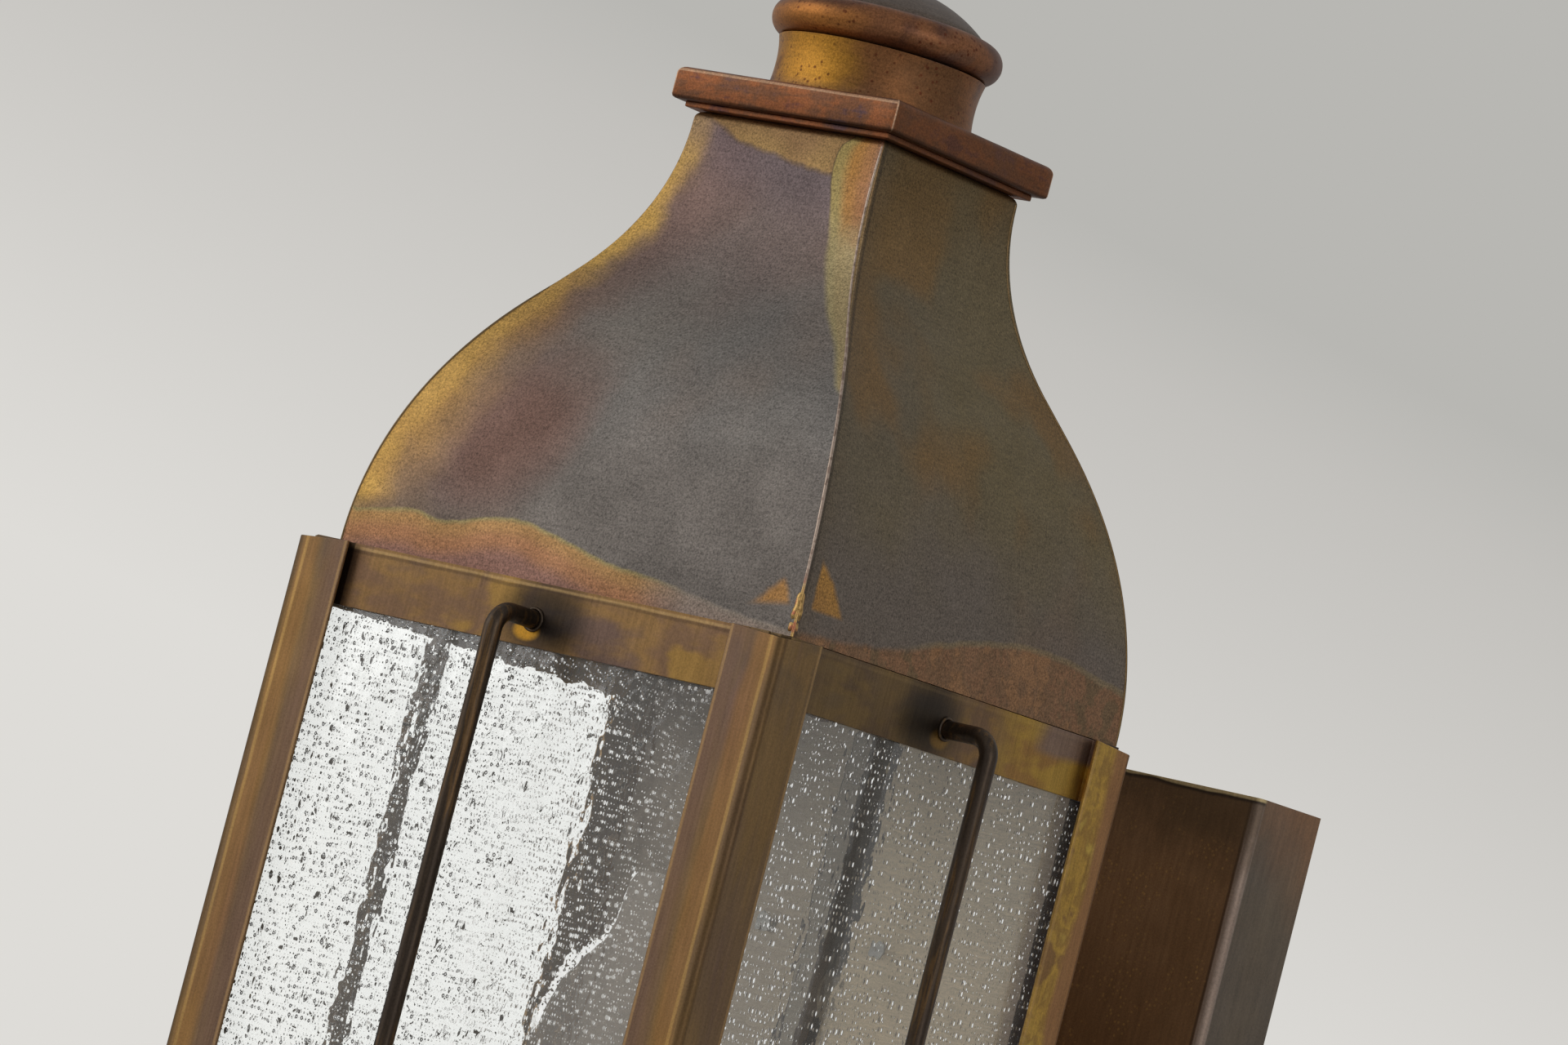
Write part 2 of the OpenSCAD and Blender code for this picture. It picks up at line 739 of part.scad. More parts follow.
// Turned cup that lifts the candle plate off the floor
module cluster_cup() {
    cup_r = 24;
    color(BRASS) at_body() translate([0, 0, cluster_base]) rotate_extrude() difference() {
        translate([nipple_r + hole_play, 0]) square([cup_r - nipple_r, cup_h]);
        translate([cup_r + 6, cup_h - 1]) circle(13);
    }
}

module candle_places() {
    for (turn = [90, 210, 330]) rotate([0, 0, turn]) translate([candle_ring, 0, 0]) children();
}

module cluster_plate() {
    color(BRASS) at_body() translate([0, 0, disc_z]) difference() {
        cylinder(h = disc_t, r = disc_r);
        translate([0, 0, -cut]) cylinder(h = disc_t + 2 * cut, r = nipple_r + hole_play);
    }
}

module candle_sleeves() {
    color(IVORY) at_body() translate([0, 0, candle_z]) candle_places() difference() {
        cylinder(h = sleeve_h, r = sleeve_r);
        translate([0, 0, -cut]) cylinder(h = sleeve_h + 2 * cut, r = sleeve_r - 1.2);
    }
}

module lamp_sockets() {
    color(RUBBER) at_body() translate([0, 0, candle_z]) candle_places() difference() {
        cylinder(h = socket_h, r = socket_r);
        translate([0, 0, socket_h - socket_bore_h]) cylinder(h = socket_bore_h + cut, r = socket_bore_r);
    }
}

back_plate();
back_plate_ends();
wall_strap();
strap_studs();
cap_nut(1);  // cap_nut_upper
cap_nut(-1);  // cap_nut_lower
ground_screw();
box_arm();
arm_front_screws();
arm_rear_screws();
wire_grommet();
wire_channel();
back_panel();
corner_post(0);  // front_left_post
corner_post(90);  // front_right_post
corner_post(180);  // back_right_post
corner_post(270);  // back_left_post
rail(0, true, true);  // top_rail_front
rail(90, true, true, 1);  // top_rail_right
rail(180, true, false);  // top_rail_back
rail(270, true, true, -1);  // top_rail_left
rail(0, false, true);  // bottom_rail_front
rail(90, false, true);  // bottom_rail_right
rail(180, false, false);  // bottom_rail_back
rail(270, false, true);  // bottom_rail_left
floor_plate();
pane(0);  // glass_front
pane(90);  // glass_right
pane(270);  // glass_left
glass_clips();
guard_rod(0);  // guard_rod_front
guard_rod(90);  // guard_rod_right
guard_rod(270);  // guard_rod_left
roof_bar();
bar_screws();
roof_stem();
stem_nuts();
heat_shield();
roof_panel(0);  // roof_panel_front
roof_panel(90);  // roof_panel_right
roof_panel(180);  // roof_panel_back
roof_panel(270);  // roof_panel_left
hip_seams();
cap_liner();
cap_plate();
chimney_neck();
chimney_cap();
cluster_nut();
cluster_nipple();
cluster_cup();
cluster_plate();
candle_sleeves();
lamp_sockets();
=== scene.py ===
import math

import bmesh
import bpy
from bpy.props import FloatProperty, FloatVectorProperty, PointerProperty
from mathutils import Matrix, Vector, noise


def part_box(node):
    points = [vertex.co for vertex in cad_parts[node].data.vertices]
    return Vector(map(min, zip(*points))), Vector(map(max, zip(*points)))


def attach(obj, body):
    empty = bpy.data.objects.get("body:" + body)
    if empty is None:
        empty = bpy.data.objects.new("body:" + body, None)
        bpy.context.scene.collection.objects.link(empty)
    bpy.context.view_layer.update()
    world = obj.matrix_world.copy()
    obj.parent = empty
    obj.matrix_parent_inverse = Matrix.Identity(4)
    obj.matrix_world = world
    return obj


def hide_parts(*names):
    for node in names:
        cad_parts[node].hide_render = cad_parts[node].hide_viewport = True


bl_info = {
    "name": "Wall Lantern",
    "version": (1, 0, 0),
    "blender": (4, 5, 0),
    "location": "3D View > Sidebar > Lantern",
    "description": "Aged brass, seeded glass and soldered seams for a wall lantern",
    "category": "Object",
}

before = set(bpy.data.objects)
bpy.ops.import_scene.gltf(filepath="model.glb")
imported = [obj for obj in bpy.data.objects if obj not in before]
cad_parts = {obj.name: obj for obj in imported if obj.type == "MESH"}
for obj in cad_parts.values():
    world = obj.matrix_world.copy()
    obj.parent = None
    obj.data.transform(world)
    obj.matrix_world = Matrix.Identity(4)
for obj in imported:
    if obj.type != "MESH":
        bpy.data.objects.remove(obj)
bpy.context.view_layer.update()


# ---- Places read from the solids ----

def low(node):
    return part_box(node)[0]


def high(node):
    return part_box(node)[1]


def middle(node):
    return (low(node) + high(node)) / 2


ROOF_FOOT = Vector((middle("chimney_cap").x, middle("chimney_cap").y, low("roof_panel_front").z))
ROOF_RISE = high("roof_panel_front").z - ROOF_FOOT.z
ROOF_HALF = (high("roof_panel_front").x - low("roof_panel_front").x) / 2
BODY_Y = (low("front_left_post").y + high("back_left_post").y) / 2
BODY_HALF = high("front_right_post").x
BODY_TOP = high("front_right_post").z
TINY = 1e-6


# ---- Sizes and colours that a user would change ----

def tone(red, green, blue):
    """Linear colour of a display colour given from 0 to 255."""
    return tuple(((c / 255 + 0.055) / 1.055) ** 2.4 if c > 10 else c / 255 / 12.92 for c in (red, green, blue))


def number(name, start, about, **kind):
    return FloatProperty(name=name, description=about, default=start, **kind)


def length(name, metres, about):
    return number(name, metres, about, unit="LENGTH")


def shade(name, display, about):
    return FloatVectorProperty(name=name, description=about, default=tone(*display), subtype="COLOR")


class RoofSettings(bpy.types.PropertyGroup):
    belly_radius: length("Belly radius", 0.1722, "Radius of the outward curve above the roof's edge")
    throat_radius: length("Throat radius", 0.1100, "Radius of the inward curve under the cap plate")
    lean: number("Lean", math.radians(33.29), "Angle from upright where the two curves meet", unit="ROTATION")
    throat_half: length("Throat half width", 0.041, "Half width of the roof under the cap plate")
    shoulder: length("Shoulder", 0.003, "Radius of the edge under the cap plate")
    sheet: length("Sheet", 0.001, "Thickness of the roof's sheet")
    beating: length("Beating", 0.0003, "Depth of the hand-beaten unevenness")
    seam: length("Seam", 0.00055, "Radius of the solder along the hips")


class GlassSettings(bpy.types.PropertyGroup):
    seed_spacing: length("Seed spacing", 0.0034, "Distance between the air seeds")
    seed_size: length("Seed size", 0.00075, "Radius of the largest seeds")
    seed_depth: length("Seed depth", 0.00025, "Height of the swelling over a seed")
    ripple: length("Ripple", 0.00022, "Height of the waves in the glass")
    veil: number("Veil", 0.14, "Share of light that the weathered face scatters", subtype="FACTOR")
    tint: FloatVectorProperty(name="Tint", description="Colour of the glass", default=(0.98, 0.985, 0.98),
                              subtype="COLOR")


class MetalSettings(bpy.types.PropertyGroup):
    grey: shade("Purple grey", (129, 122, 114), "Burnt grey of the roof's lit sheets")
    olive: shade("Olive brown", (121, 107, 78), "Burnt olive of the roof's shaded sheets")
    gold: shade("Gold", (196, 158, 80), "Brass that the heat left bright")
    orange: shade("Orange", (168, 122, 66), "Heat stain beside seams and edges")
    russet: shade("Russet", (114, 85, 74), "Red-brown heat stain")
    post: shade("Post brass", (126, 101, 74), "Warm brown brass of posts and rails")
    copper: shade("Cap copper", (120, 81, 58), "Copper brown of the cap plate")
    bronze: shade("Dark bronze", (146, 111, 78), "Dark brown of the back plate and rods")
    steel: shade("Plated steel", (176, 174, 168), "Zinc-plated steel of hidden fittings")


class StageSettings(bpy.types.PropertyGroup):
    key: number("Key light", 26.0, "Power of the large lamp at the front left", unit="POWER")
    fill: number("Fill light", 9.0, "Power of the soft lamp at the right", unit="POWER")
    sky: number("Surrounding light", 0.45, "Strength of the even light from all round", subtype="FACTOR")
    lens: number("Lens", 166.02, "Focal length of the camera", subtype="DISTANCE_CAMERA")


SETTINGS = {"lantern_roof": RoofSettings, "lantern_glass": GlassSettings,
            "lantern_metal": MetalSettings, "lantern_stage": StageSettings}


def tones():
    return bpy.context.scene.lantern_metal


# ---- Shader maths ----

class Value:
    """A shader socket that can be used in sums."""

    def __init__(self, network, socket):
        self.network, self.socket = network, socket

    def _sum(self, operation, *terms):
        return self.network.node("Math", {"operation": operation}, dict(enumerate(terms)))

    def __add__(self, other): return self._sum("ADD", self, other)
    def __radd__(self, other): return self._sum("ADD", other, self)
    def __sub__(self, other): return self._sum("SUBTRACT", self, other)
    def __rsub__(self, other): return self._sum("SUBTRACT", other, self)
    def __mul__(self, other): return self._sum("MULTIPLY", self, other)
    def __truediv__(self, other): return self._sum("DIVIDE", self, other)
    def __pow__(self, other): return self._sum("POWER", self, other)
    def __neg__(self): return 0.0 - self
    def __abs__(self): return self._sum("ABSOLUTE", self)
    def least(self, other): return self._sum("MINIMUM", self, other)
    def most(self, other): return self._sum("MAXIMUM", self, other)

    def other(self, output):
        """Another output of the node that made this value."""
        return Value(self.network, self.socket.node.outputs[output])

    def rise(self, start, end):
        """0 below start, 1 above end, smooth between; it falls where end is the lower one."""
        share = self.network.node("MapRange", {"interpolation_type": "SMOOTHSTEP"},
                                  {"Value": self, "From Min": min(start, end), "From Max": max(start, end)})
        return 1.0 - share if end < start else share

    def above(self, soft=0.0002):
        """1 above zero and 0 below, with an edge of twice the softness."""
        return self.rise(-soft, soft)

    def line(self, width):
        """1 at zero, 0 a width away from it."""
        return (abs(self) * (1 / width)).rise(1.0, 0.25)


def colour_from(*given):
    """Three display numbers or one ready colour, as a colour."""
    return given[0] if len(given) == 1 else tone(*given)


class Network:
    """The shader nodes of a material or of the surroundings."""

    def __init__(self, owner):
        owner.use_nodes = True
        self.tree = owner.node_tree
        self.tree.nodes.clear()

    def node(self, kind, settings=None, inputs=None, output=0):
        """Adds a node, sets it up, feeds its sockets and returns one of its outputs."""
        made = self.tree.nodes.new("ShaderNode" + kind)
        for key, setting in (settings or {}).items():
            if key == "curve":
                made.color_ramp.interpolation = setting
            elif key == "stops":
                while len(made.color_ramp.elements) < len(setting):
                    made.color_ramp.elements.new(0.5)
                for element, (where, *colour) in zip(made.color_ramp.elements, setting):
                    element.position, element.color = where, (*colour_from(*colour), 1.0)
            else:
                setattr(made, key, setting)
        for key, feed in (inputs or {}).items():
            socket = made.inputs[key]
            if isinstance(feed, Value):
                self.tree.links.new(feed.socket, socket)
            else:
                socket.default_value = (*feed, 1.0) if socket.type == "RGBA" else feed
        return Value(self, made.outputs[output]) if made.outputs else None

    def seen_by(self, *rays):
        """1 for rays of the given kinds."""
        first, *others = (self.node("LightPath", output=f"Is {ray} Ray") for ray in rays)
        for other in others:
            first = first.most(other)
        return first


class Finish(Network):
    """A material under construction."""

    def __init__(self, name):
        self.material = bpy.data.materials.new(name)
        super().__init__(self.material)
        self.place = self.node("TexCoord", output="Object")
        self.x, self.y, self.z = (self.node("SeparateXYZ", {}, {0: self.place}, axis) for axis in range(3))

    def cloud(self, scale, detail=2.0, roughness=0.5, bend=0.0):
        """Soft noise from about 0.3 to 0.7; the scale is in waves per metre, one for all axes or three."""
        at = self.place
        if isinstance(scale, tuple):
            at, scale = self.node("Mapping", {}, {"Vector": at, "Scale": scale}), 1.0
        return self.node("TexNoise", {}, {"Vector": at, "Scale": scale, "Detail": detail, "Roughness": roughness,
                                          "Distortion": bend})

    def specks(self, cells, core, patches, start, end):
        """Round specks, one to a cell, that show only in patches; both scales are in numbers per metre."""
        far = self.node("TexVoronoi", {}, {"Vector": self.place, "Scale": cells}, "Distance")
        return far.rise(0.34, core) * self.cloud(patches).rise(start, end)

    def bump(self, height, depth, strength=1.0, **under):
        return self.node("Bump", {}, {"Height": height, "Distance": depth, "Strength": strength, **under})

    def surface(self, **inputs):
        return self.node("BsdfPrincipled", {}, {socket.replace("_", " "): feed for socket, feed in inputs.items()})

    def done(self, shader):
        self.node("OutputMaterial", {}, {"Surface": shader})
        return self.material


def blend(share, first, second):
    """One shader, or the other where the share is 1."""
    return share.network.node("MixShader", {}, {0: share, 1: first, 2: second})


def mix(share, first, second):
    """One colour, or the other where the share is 1."""
    return share.network.node("Mix", {"data_type": "RGBA", "clamp_factor": True}, {0: share, 6: first, 7: second}, 2)


def coats(colour, *over):
    """Lays colours over one another; a coat is its share and then its colour."""
    for share, *coat_colour in over:
        colour = mix(share, colour, colour_from(*coat_colour))
    return colour


def ramp(share, *stops, curve="EASE"):
    """A colour that changes with the share; a stop is its place and then its colour."""
    return share.network.node("ValToRGB", {"stops": stops, "curve": curve}, {"Fac": share})


def profile(along, reach, *stops):
    """A height that changes smoothly along a reach; stops are (place, height) pairs in metres."""
    tallest = max(height for _, height in stops)
    shares = [(where / reach, (height / tallest,) * 3) for where, height in stops]
    return ramp(along / reach, *shares, curve="CARDINAL") * tallest


# ---- Modelling helpers ----

def nothing_selected():
    if bpy.context.object is not None and bpy.context.object.mode != "OBJECT":
        bpy.ops.object.mode_set(mode="OBJECT")
    bpy.ops.object.select_all(action="DESELECT")


def work_on(piece, editing=True):
    nothing_selected()
    bpy.context.view_layer.objects.active = piece
    piece.select_set(True)
    if editing:
        bpy.ops.object.mode_set(mode="EDIT")
        everything()


def everything():
    bpy.ops.mesh.select_mode(type="VERT")
    bpy.ops.mesh.select_all(action="SELECT")


def leave():
    bpy.ops.object.mode_set(mode="OBJECT")


def weld():
    everything()
    bpy.ops.mesh.remove_doubles(threshold=TINY)


def cut_edges(piece, test, cuts):
    """In edit mode, divides the edges that pass the test, which gets the way from one end to the other."""
    bpy.ops.mesh.select_mode(type="EDGE")
    bpy.ops.mesh.select_all(action="DESELECT")
    mesh = bmesh.from_edit_mesh(piece.data)
    for edge in mesh.edges:
        if test(edge.verts[1].co - edge.verts[0].co):
            edge.select_set(True)
    mesh.select_flush_mode()
    bmesh.update_edit_mesh(piece.data)
    bpy.ops.mesh.subdivide(number_cuts=cuts)


def apply_place(piece):
    bpy.ops.object.transform_apply(location=True, rotation=True, scale=True)
    return piece


def draw(name, points):
    """A line through the points, left in edit mode."""
    nothing_selected()
    bpy.ops.mesh.primitive_plane_add(size=0.01, location=points[0])
    piece = apply_place(bpy.context.object)
    piece.name = name
    bpy.ops.object.mode_set(mode="EDIT")
    everything()
    bpy.ops.mesh.merge(type="CENTER")
    for before, after in zip(points, points[1:]):
        extrude(Vector(after) - Vector(before))
    return piece


def extrude(step):
    bpy.ops.mesh.extrude_region_move(TRANSFORM_OT_translate={"value": step})


def spin(centre, steps):
    """In edit mode, turns the whole line once round an upright axis."""
    everything()
    bpy.ops.mesh.spin(steps=steps, angle=math.tau, center=centre, axis=(0, 0, 1))
    weld()


def turn_on_lathe(name, centre, section):
    """A closed round piece from its (radius, height) section."""
    piece = draw(name, [(centre.x + r, centre.y, centre.z + h) for r, h in section])
    spin(centre, 96)
    bpy.ops.mesh.normals_make_consistent(inside=False)
    leave()
    return piece


def arc(centre, radius, start, end, steps):
    """Points of an arc in a plane, angles in degrees."""
    turns = [math.radians(start + (end - start) * k / steps) for k in range(steps + 1)]
    return [(centre[0] + radius * math.cos(turn), centre[1] + radius * math.sin(turn)) for turn in turns]


def modify(piece, kind, **settings):
    """Adds a modifier and applies it at once."""
    work_on(piece, editing=False)
    modifier = piece.modifiers.new(kind.title(), kind)
    for key, setting in settings.items():
        setattr(modifier, key, setting)
    bpy.ops.object.modifier_apply(modifier=modifier.name)


def uneven(piece, size, depth):
    """Small hand-made unevenness, the same on each run."""
    clouds = bpy.data.textures.new(piece.name + "_clouds", "CLOUDS")
    clouds.noise_scale = size
    modify(piece, "DISPLACE", texture=clouds, texture_coords="LOCAL", strength=depth, mid_level=0.5)


def smooth(piece, angle):
    work_on(piece, editing=False)
    bpy.ops.object.shade_smooth_by_angle(angle=math.radians(angle))


def copy_of(piece, name):
    """A copy with its own mesh."""
    copy = piece.copy()
    copy.data = piece.data.copy()
    copy.name = name
    bpy.context.scene.collection.objects.link(copy)
    return copy


def turned_copy(piece, name, degrees, about):
    """A copy turned about an upright axis."""
    copy = copy_of(piece, name)
    spot = Matrix.Translation(about)
    copy.data.transform(spot @ Matrix.Rotation(math.radians(degrees), 4, "Z") @ spot.inverted())
    return copy


def join(pieces, name):
    nothing_selected()
    for piece in pieces:
        piece.select_set(True)
    bpy.context.view_layer.objects.active = pieces[0]
    bpy.ops.object.join()
    pieces[0].name = name
    return pieces[0]


def tube(name, points, radius, sides, radii=None):
    """A round bar along the points."""
    curve = bpy.data.curves.new(name, "CURVE")
    curve.dimensions = "3D"
    curve.bevel_depth = radius
    curve.bevel_resolution = sides // 4 - 1
    curve.use_fill_caps = True
    line = curve.splines.new("POLY")
    line.points.add(len(points) - 1)
    for spot, at, share in zip(line.points, points, radii or [1.0] * len(points)):
        spot.co, spot.radius = (*at, 1.0), share
    piece = bpy.data.objects.new(name, curve)
    bpy.context.scene.collection.objects.link(piece)
    work_on(piece, editing=False)
    bpy.ops.object.convert(target="MESH")
    return bpy.context.object


def coat(mesh, material):
    mesh.materials.clear()
    mesh.materials.append(material)


def dress(piece, material, body, node):
    """Gives a piece its finish, its body and the node that it stands for."""
    coat(piece.data, material)
    for face in piece.data.polygons:
        face.material_index = 0
    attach(piece, body)
    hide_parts(node)


def ease(node, name, width, material, body="lantern"):
    """Dresses a node with a copy of its solid that has whole faces and eased edges."""
    piece = copy_of(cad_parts[node], name)
    piece.parent = None
    for key in list(piece.keys()):
        del piece[key]
    work_on(piece)
    weld()
    bpy.ops.mesh.dissolve_limited(angle_limit=math.radians(0.5))
    leave()
    modify(piece, "BEVEL", width=width, segments=2, limit_method="ANGLE", angle_limit=math.radians(35),
           use_clamp_overlap=True)
    smooth(piece, 40)
    modify(piece, "WEIGHTED_NORMAL", keep_sharp=True)
    dress(piece, material, body, node)


# ---- Finishes ----

def metal(name, colour_of, rough=(0.46, 0.58), across=(90, 90, 1400), rubbed=0.45, metallic=0.9, speckle=1.6):
    """A rubbed, pitted and stained metal. colour_of gets the finish and returns its colour."""
    finish = Finish(name)
    lines, pits = finish.cloud(across, 3.0, 0.6), finish.cloud(1350, 2.0, 0.8)
    height = lines * rubbed + pits * (1.0 - rubbed)
    light = (finish.cloud(28, 3.0, 0.55) - 0.5) * 0.14 + (height - 0.5) * speckle + 1.0
    light = finish.node("CombineXYZ", {}, {axis: light for axis in range(3)})
    return finish.done(finish.surface(
        Metallic=metallic,
        Base_Color=finish.node("VectorMath", {"operation": "MULTIPLY"}, {0: colour_of(finish), 1: light}),
        Roughness=(finish.cloud(60) * 0.6 + height * 0.4).rise(0.3, 0.7) * (rough[1] - rough[0]) + rough[0],
        Normal=finish.bump(height, 0.00005, 0.5)))


def roof_colour(finish):
    """Burnt greys with gold, orange and russet stains placed from the hips, the edge and the top."""
    x, y, z = finish.x - ROOF_FOOT.x, finish.y - ROOF_FOOT.y, finish.z - ROOF_FOOT.z
    wave, ripple = finish.cloud(24) - 0.5, finish.cloud(85, 3.0, 0.55) - 0.5
    broad = finish.cloud(9, 1.0).rise(0.35, 0.65)
    spot = finish.cloud(17, 2.0, 0.6)
    either = spot.rise(0.4, 0.6)
    across = (abs(y) - abs(x)).above()
    front = across * (-y).rise(0, 0.001)
    left = (1.0 - across) * (-x).rise(0, 0.001)
    right = (1.0 - across) - left
    # distance from each sheet's two hips: a and b on the lit sheets, s on the shaded ones
    a = x * (front - left) - y
    b = abs(x).most(abs(y)) * 2.0 - a
    s = y + x * (right - (across - front))

    # the lit sheets: greys, russet patch, gold along the left hip
    patch = 1.0 - ((a - 0.045 + wave * 0.03) * 27) ** 2.0 - ((z - 0.050 + wave * 0.04) * 22) ** 2.0
    gold = (a + wave * 0.03 + ripple * 0.012 + z.rise(0.09, 0.15) * 0.006).rise(0.023, 0.003)
    top = z - ROOF_RISE + ripple * 0.004 + wave * 0.004 + profile(
        a, 0.1, (0.0, 0.0018), (0.011, 0.0036), (0.022, 0.0083), (0.039, 0.0113), (0.0525, 0.0139), (0.064, 0.0153),
        (0.1, 0.0160))
    grey = coats(
        mix(broad, tones().grey, tone(119, 114, 109)),
        (spot.rise(0.50, 0.70) * 0.35, 134, 117, 104),
        ((z + wave * 0.06).rise(0.09, 0.15) * 0.75, 112, 93, 88),
        ((z + wave * 0.03).rise(0.074, 0.042) * 0.9, 110, 103, 97),
        (patch.rise(-0.1, 1.1) * 0.9, tones().russet),
        ((a + wave * 0.04 + ripple * 0.01).rise(0.038, 0.016) * z.rise(0.115, 0.085) * 0.7, 150, 116, 78),
        ((a + wave * 0.05).rise(0.050, 0.020) * z.rise(0.06, 0.10) * 0.55, 120, 92, 82),
        (gold * 0.95, mix(either, tones().gold, tone(166, 128, 74))),
        ((a + wave * 0.02 + ripple * 0.01).rise(0.014, 0.003) * z.rise(0.02, 0.06) * 0.55, 196, 158, 86),
        # gold under the cap plate
        (top.rise(-0.026, -0.002) * 0.5, 106, 94, 99),
        (top.rise(-0.0010, 0.0014) * 0.85, mix(either, tone(166, 134, 80), tone(142, 110, 70))),
        (top.line(0.0012) * 0.3, 88, 72, 62))
    # a strip of orange and straw down the right hip
    width = profile(z, ROOF_RISE, (0.080, 0.0), (0.085, 0.0028), (0.100, 0.0052), (0.1086, 0.0092), (0.124, 0.0127),
                    (0.138, 0.0143), (0.152, 0.0169), (0.162, 0.0186), (0.170, 0.0168), (0.174, 0.0120))
    strip = width - b + ripple * 0.0010
    straw = coats(
        ramp(b / width.most(0.001), (0.0, 152, 114, 94), (0.25, 162, 116, 76), (0.55, tones().orange),
             (0.86, 156, 138, 86)),
        ((z + ripple * 0.02).rise(0.150, 0.128) * 0.85, 164, 150, 110))
    shown = (strip / (0.0004 + z.rise(0.155, 0.125) * 0.0014)).above(1.0) * width.rise(0.0, 0.003)
    # a band of orange and lilac along the foot
    band = profile(a, 0.2, (0.004, 0.0118), (0.027, 0.0157), (0.041, 0.0143), (0.068, 0.0190), (0.111, 0.0110),
                   (0.146, 0.0080), (0.195, 0.0020)) - z + wave * 0.005 + ripple * 0.0025
    foot = coats(
        ramp(band / 0.016, (0.0, 150, 136, 92), (0.14, 172, 132, 84), (0.5, 170, 122, 86), (0.9, 150, 112, 98)),
        ((a + wave * 0.03).rise(0.125, 0.150) * 0.85, 138, 127, 120))
    grey = coats(
        grey, (shown * 0.9, straw),
        (strip.line(0.0005) * z.rise(0.140, 0.160) * 0.6, 78, 66, 54),
        (band.rise(-0.007, -0.0002) * a.rise(0.09, 0.03) * 0.6, 108, 93, 82),
        (band.above(0.0006) * 0.9, foot))

    # the shaded sheets: olive with golden blotches, a rusty band along the foot and a painted shadow beside the hip
    # seam
    band = profile(s, 0.2, (0.0, 0.0020), (0.037, 0.0042), (0.068, 0.0092), (0.090, 0.0145), (0.113, 0.0190),
                   (0.140, 0.0210), (0.163, 0.0212), (0.195, 0.0172)) - z + wave * 0.004 + ripple * 0.002
    rust = ramp(ripple * 0.6 + wave * 0.4 + 0.5, (0.40, 126, 100, 70), (0.47, 150, 110, 78),
                (0.53, 138, 104, 74), (0.60, 160, 118, 80))
    olive = coats(
        mix(broad, tones().olive, tone(114, 102, 82)),
        (spot.rise(0.46, 0.62) * 0.65, 136, 102, 56),
        ((z + wave * 0.05).rise(0.07, 0.02) * 0.75, 117, 107, 102),
        ((z + wave * 0.04).rise(ROOF_RISE - 0.04, ROOF_RISE) * 0.6, 104, 82, 52),
        ((s + ripple * 0.01).rise(0.016, 0.001) * 0.4, 104, 90, 70),
        (band.above(0.0014) * 0.85, rust),
        ((band + 0.0006).line(0.0016) * s.rise(0.05, 0.09) * 0.45, 150, 130, 92),
        # painted shadow beside the solder seam
        ((s - 0.0016).line(0.0012) * 0.5, 58, 50, 42))

    # the solder wanders off the corner between the sheets; orange flames stand at its foot
    slip = profile(z, 0.18, (0.0, 0.0), (0.095, 0.0), (0.110, 0.0007), (0.126, 0.0012), (0.140, 0.0014),
                   (0.154, 0.0012), (0.166, 0.0006), (0.18, 0.0))
    lit = front + left
    flame = (b - 0.0044 - (z - 0.0104) * 0.5 + ripple * 0.004).above(0.0014)
    flame = flame * (z - 0.0110 + b * 0.137).rise(-0.0014, 0.0016)
    flame = flame * (0.0262 - b * 0.91 - z + ripple * 0.006).rise(-0.0016, 0.0026)
    flicker = (s - 0.0067 + ripple * 0.004).rise(-0.0010, 0.0012) * (z - 0.0104).rise(-0.0008, 0.0010)
    flicker = flicker * (0.0272 - (z - 0.009) * 1.09 - s + ripple * 0.008).rise(-0.0016, 0.0022)
    return coats(olive, (lit * (b - slip).above(0.0001), grey),
                 ((flame * lit + flicker * (1.0 - lit)) * 0.85, mix(either, tone(184, 136, 66), tone(172, 126, 70))))


def post_colour(finish):
    """Warm brown brass with long upright stains, with painted shade darkest on the bend of each post and painted
    highlight lines along the flanges.
    """
    x, y = finish.x, finish.y - BODY_Y
    stain = finish.cloud((70, 70, 9), 3.0, 0.55)
    drift = finish.cloud(14)
    sway = drift - 0.5
    smoke = finish.cloud(48, 3.0, 0.6).rise(0.42, 0.60) * finish.z.rise(0.085, 0.115)
    corner = abs(abs(x) - abs(y))
    inner = corner + sway * 0.01
    flange = (-y - BODY_HALF + 0.0022).rise(-0.0008, 0.0)
    # the back right post is yellow-olive
    far = x.rise(BODY_HALF - 0.003, BODY_HALF - 0.001) * y.rise(0.06, 0.07)
    patchy = finish.cloud(75, 3.0, 0.6, bend=0.3)
    yellow = coats(
        ramp(patchy * 0.7 + stain * 0.3, (0.38, 150, 112, 66), (0.48, 200, 160, 72), (0.55, 172, 134, 66),
             (0.64, 208, 176, 84)),
        ((y + sway * 0.03).rise(0.094, 0.099), 168, 122, 80))
    return coats(
        ramp(stain * 0.6 + drift * 0.4, (0.36, 116, 92, 78), (0.47, tones().post), (0.56, 136, 108, 70),
             (0.68, 120, 95, 76)),
        (smoke * 0.5, 104, 90, 76),
        # on the front flanges: purple-brown beside the pane, orange in the middle
        (flange * inner.rise(0.010, 0.018) * 0.6, 118, 92, 80),
        (flange * inner.rise(0.013, 0.009) * inner.rise(0.002, 0.005) * 0.5, 160, 116, 66),
        (far * 0.8, yellow),
        # painted shade on the bend of each post
        ((corner - 0.0016).rise(0.0016, 0.0004) * 0.5, 84, 62, 42),
        # painted highlight lines: beside the bend on the front flanges, and along each flange's edge
        ((corner - 0.0046).line(0.0010) * flange * 0.45, 206, 166, 100),
        ((corner - 0.0212).line(0.0009) * 0.4, 196, 158, 104))


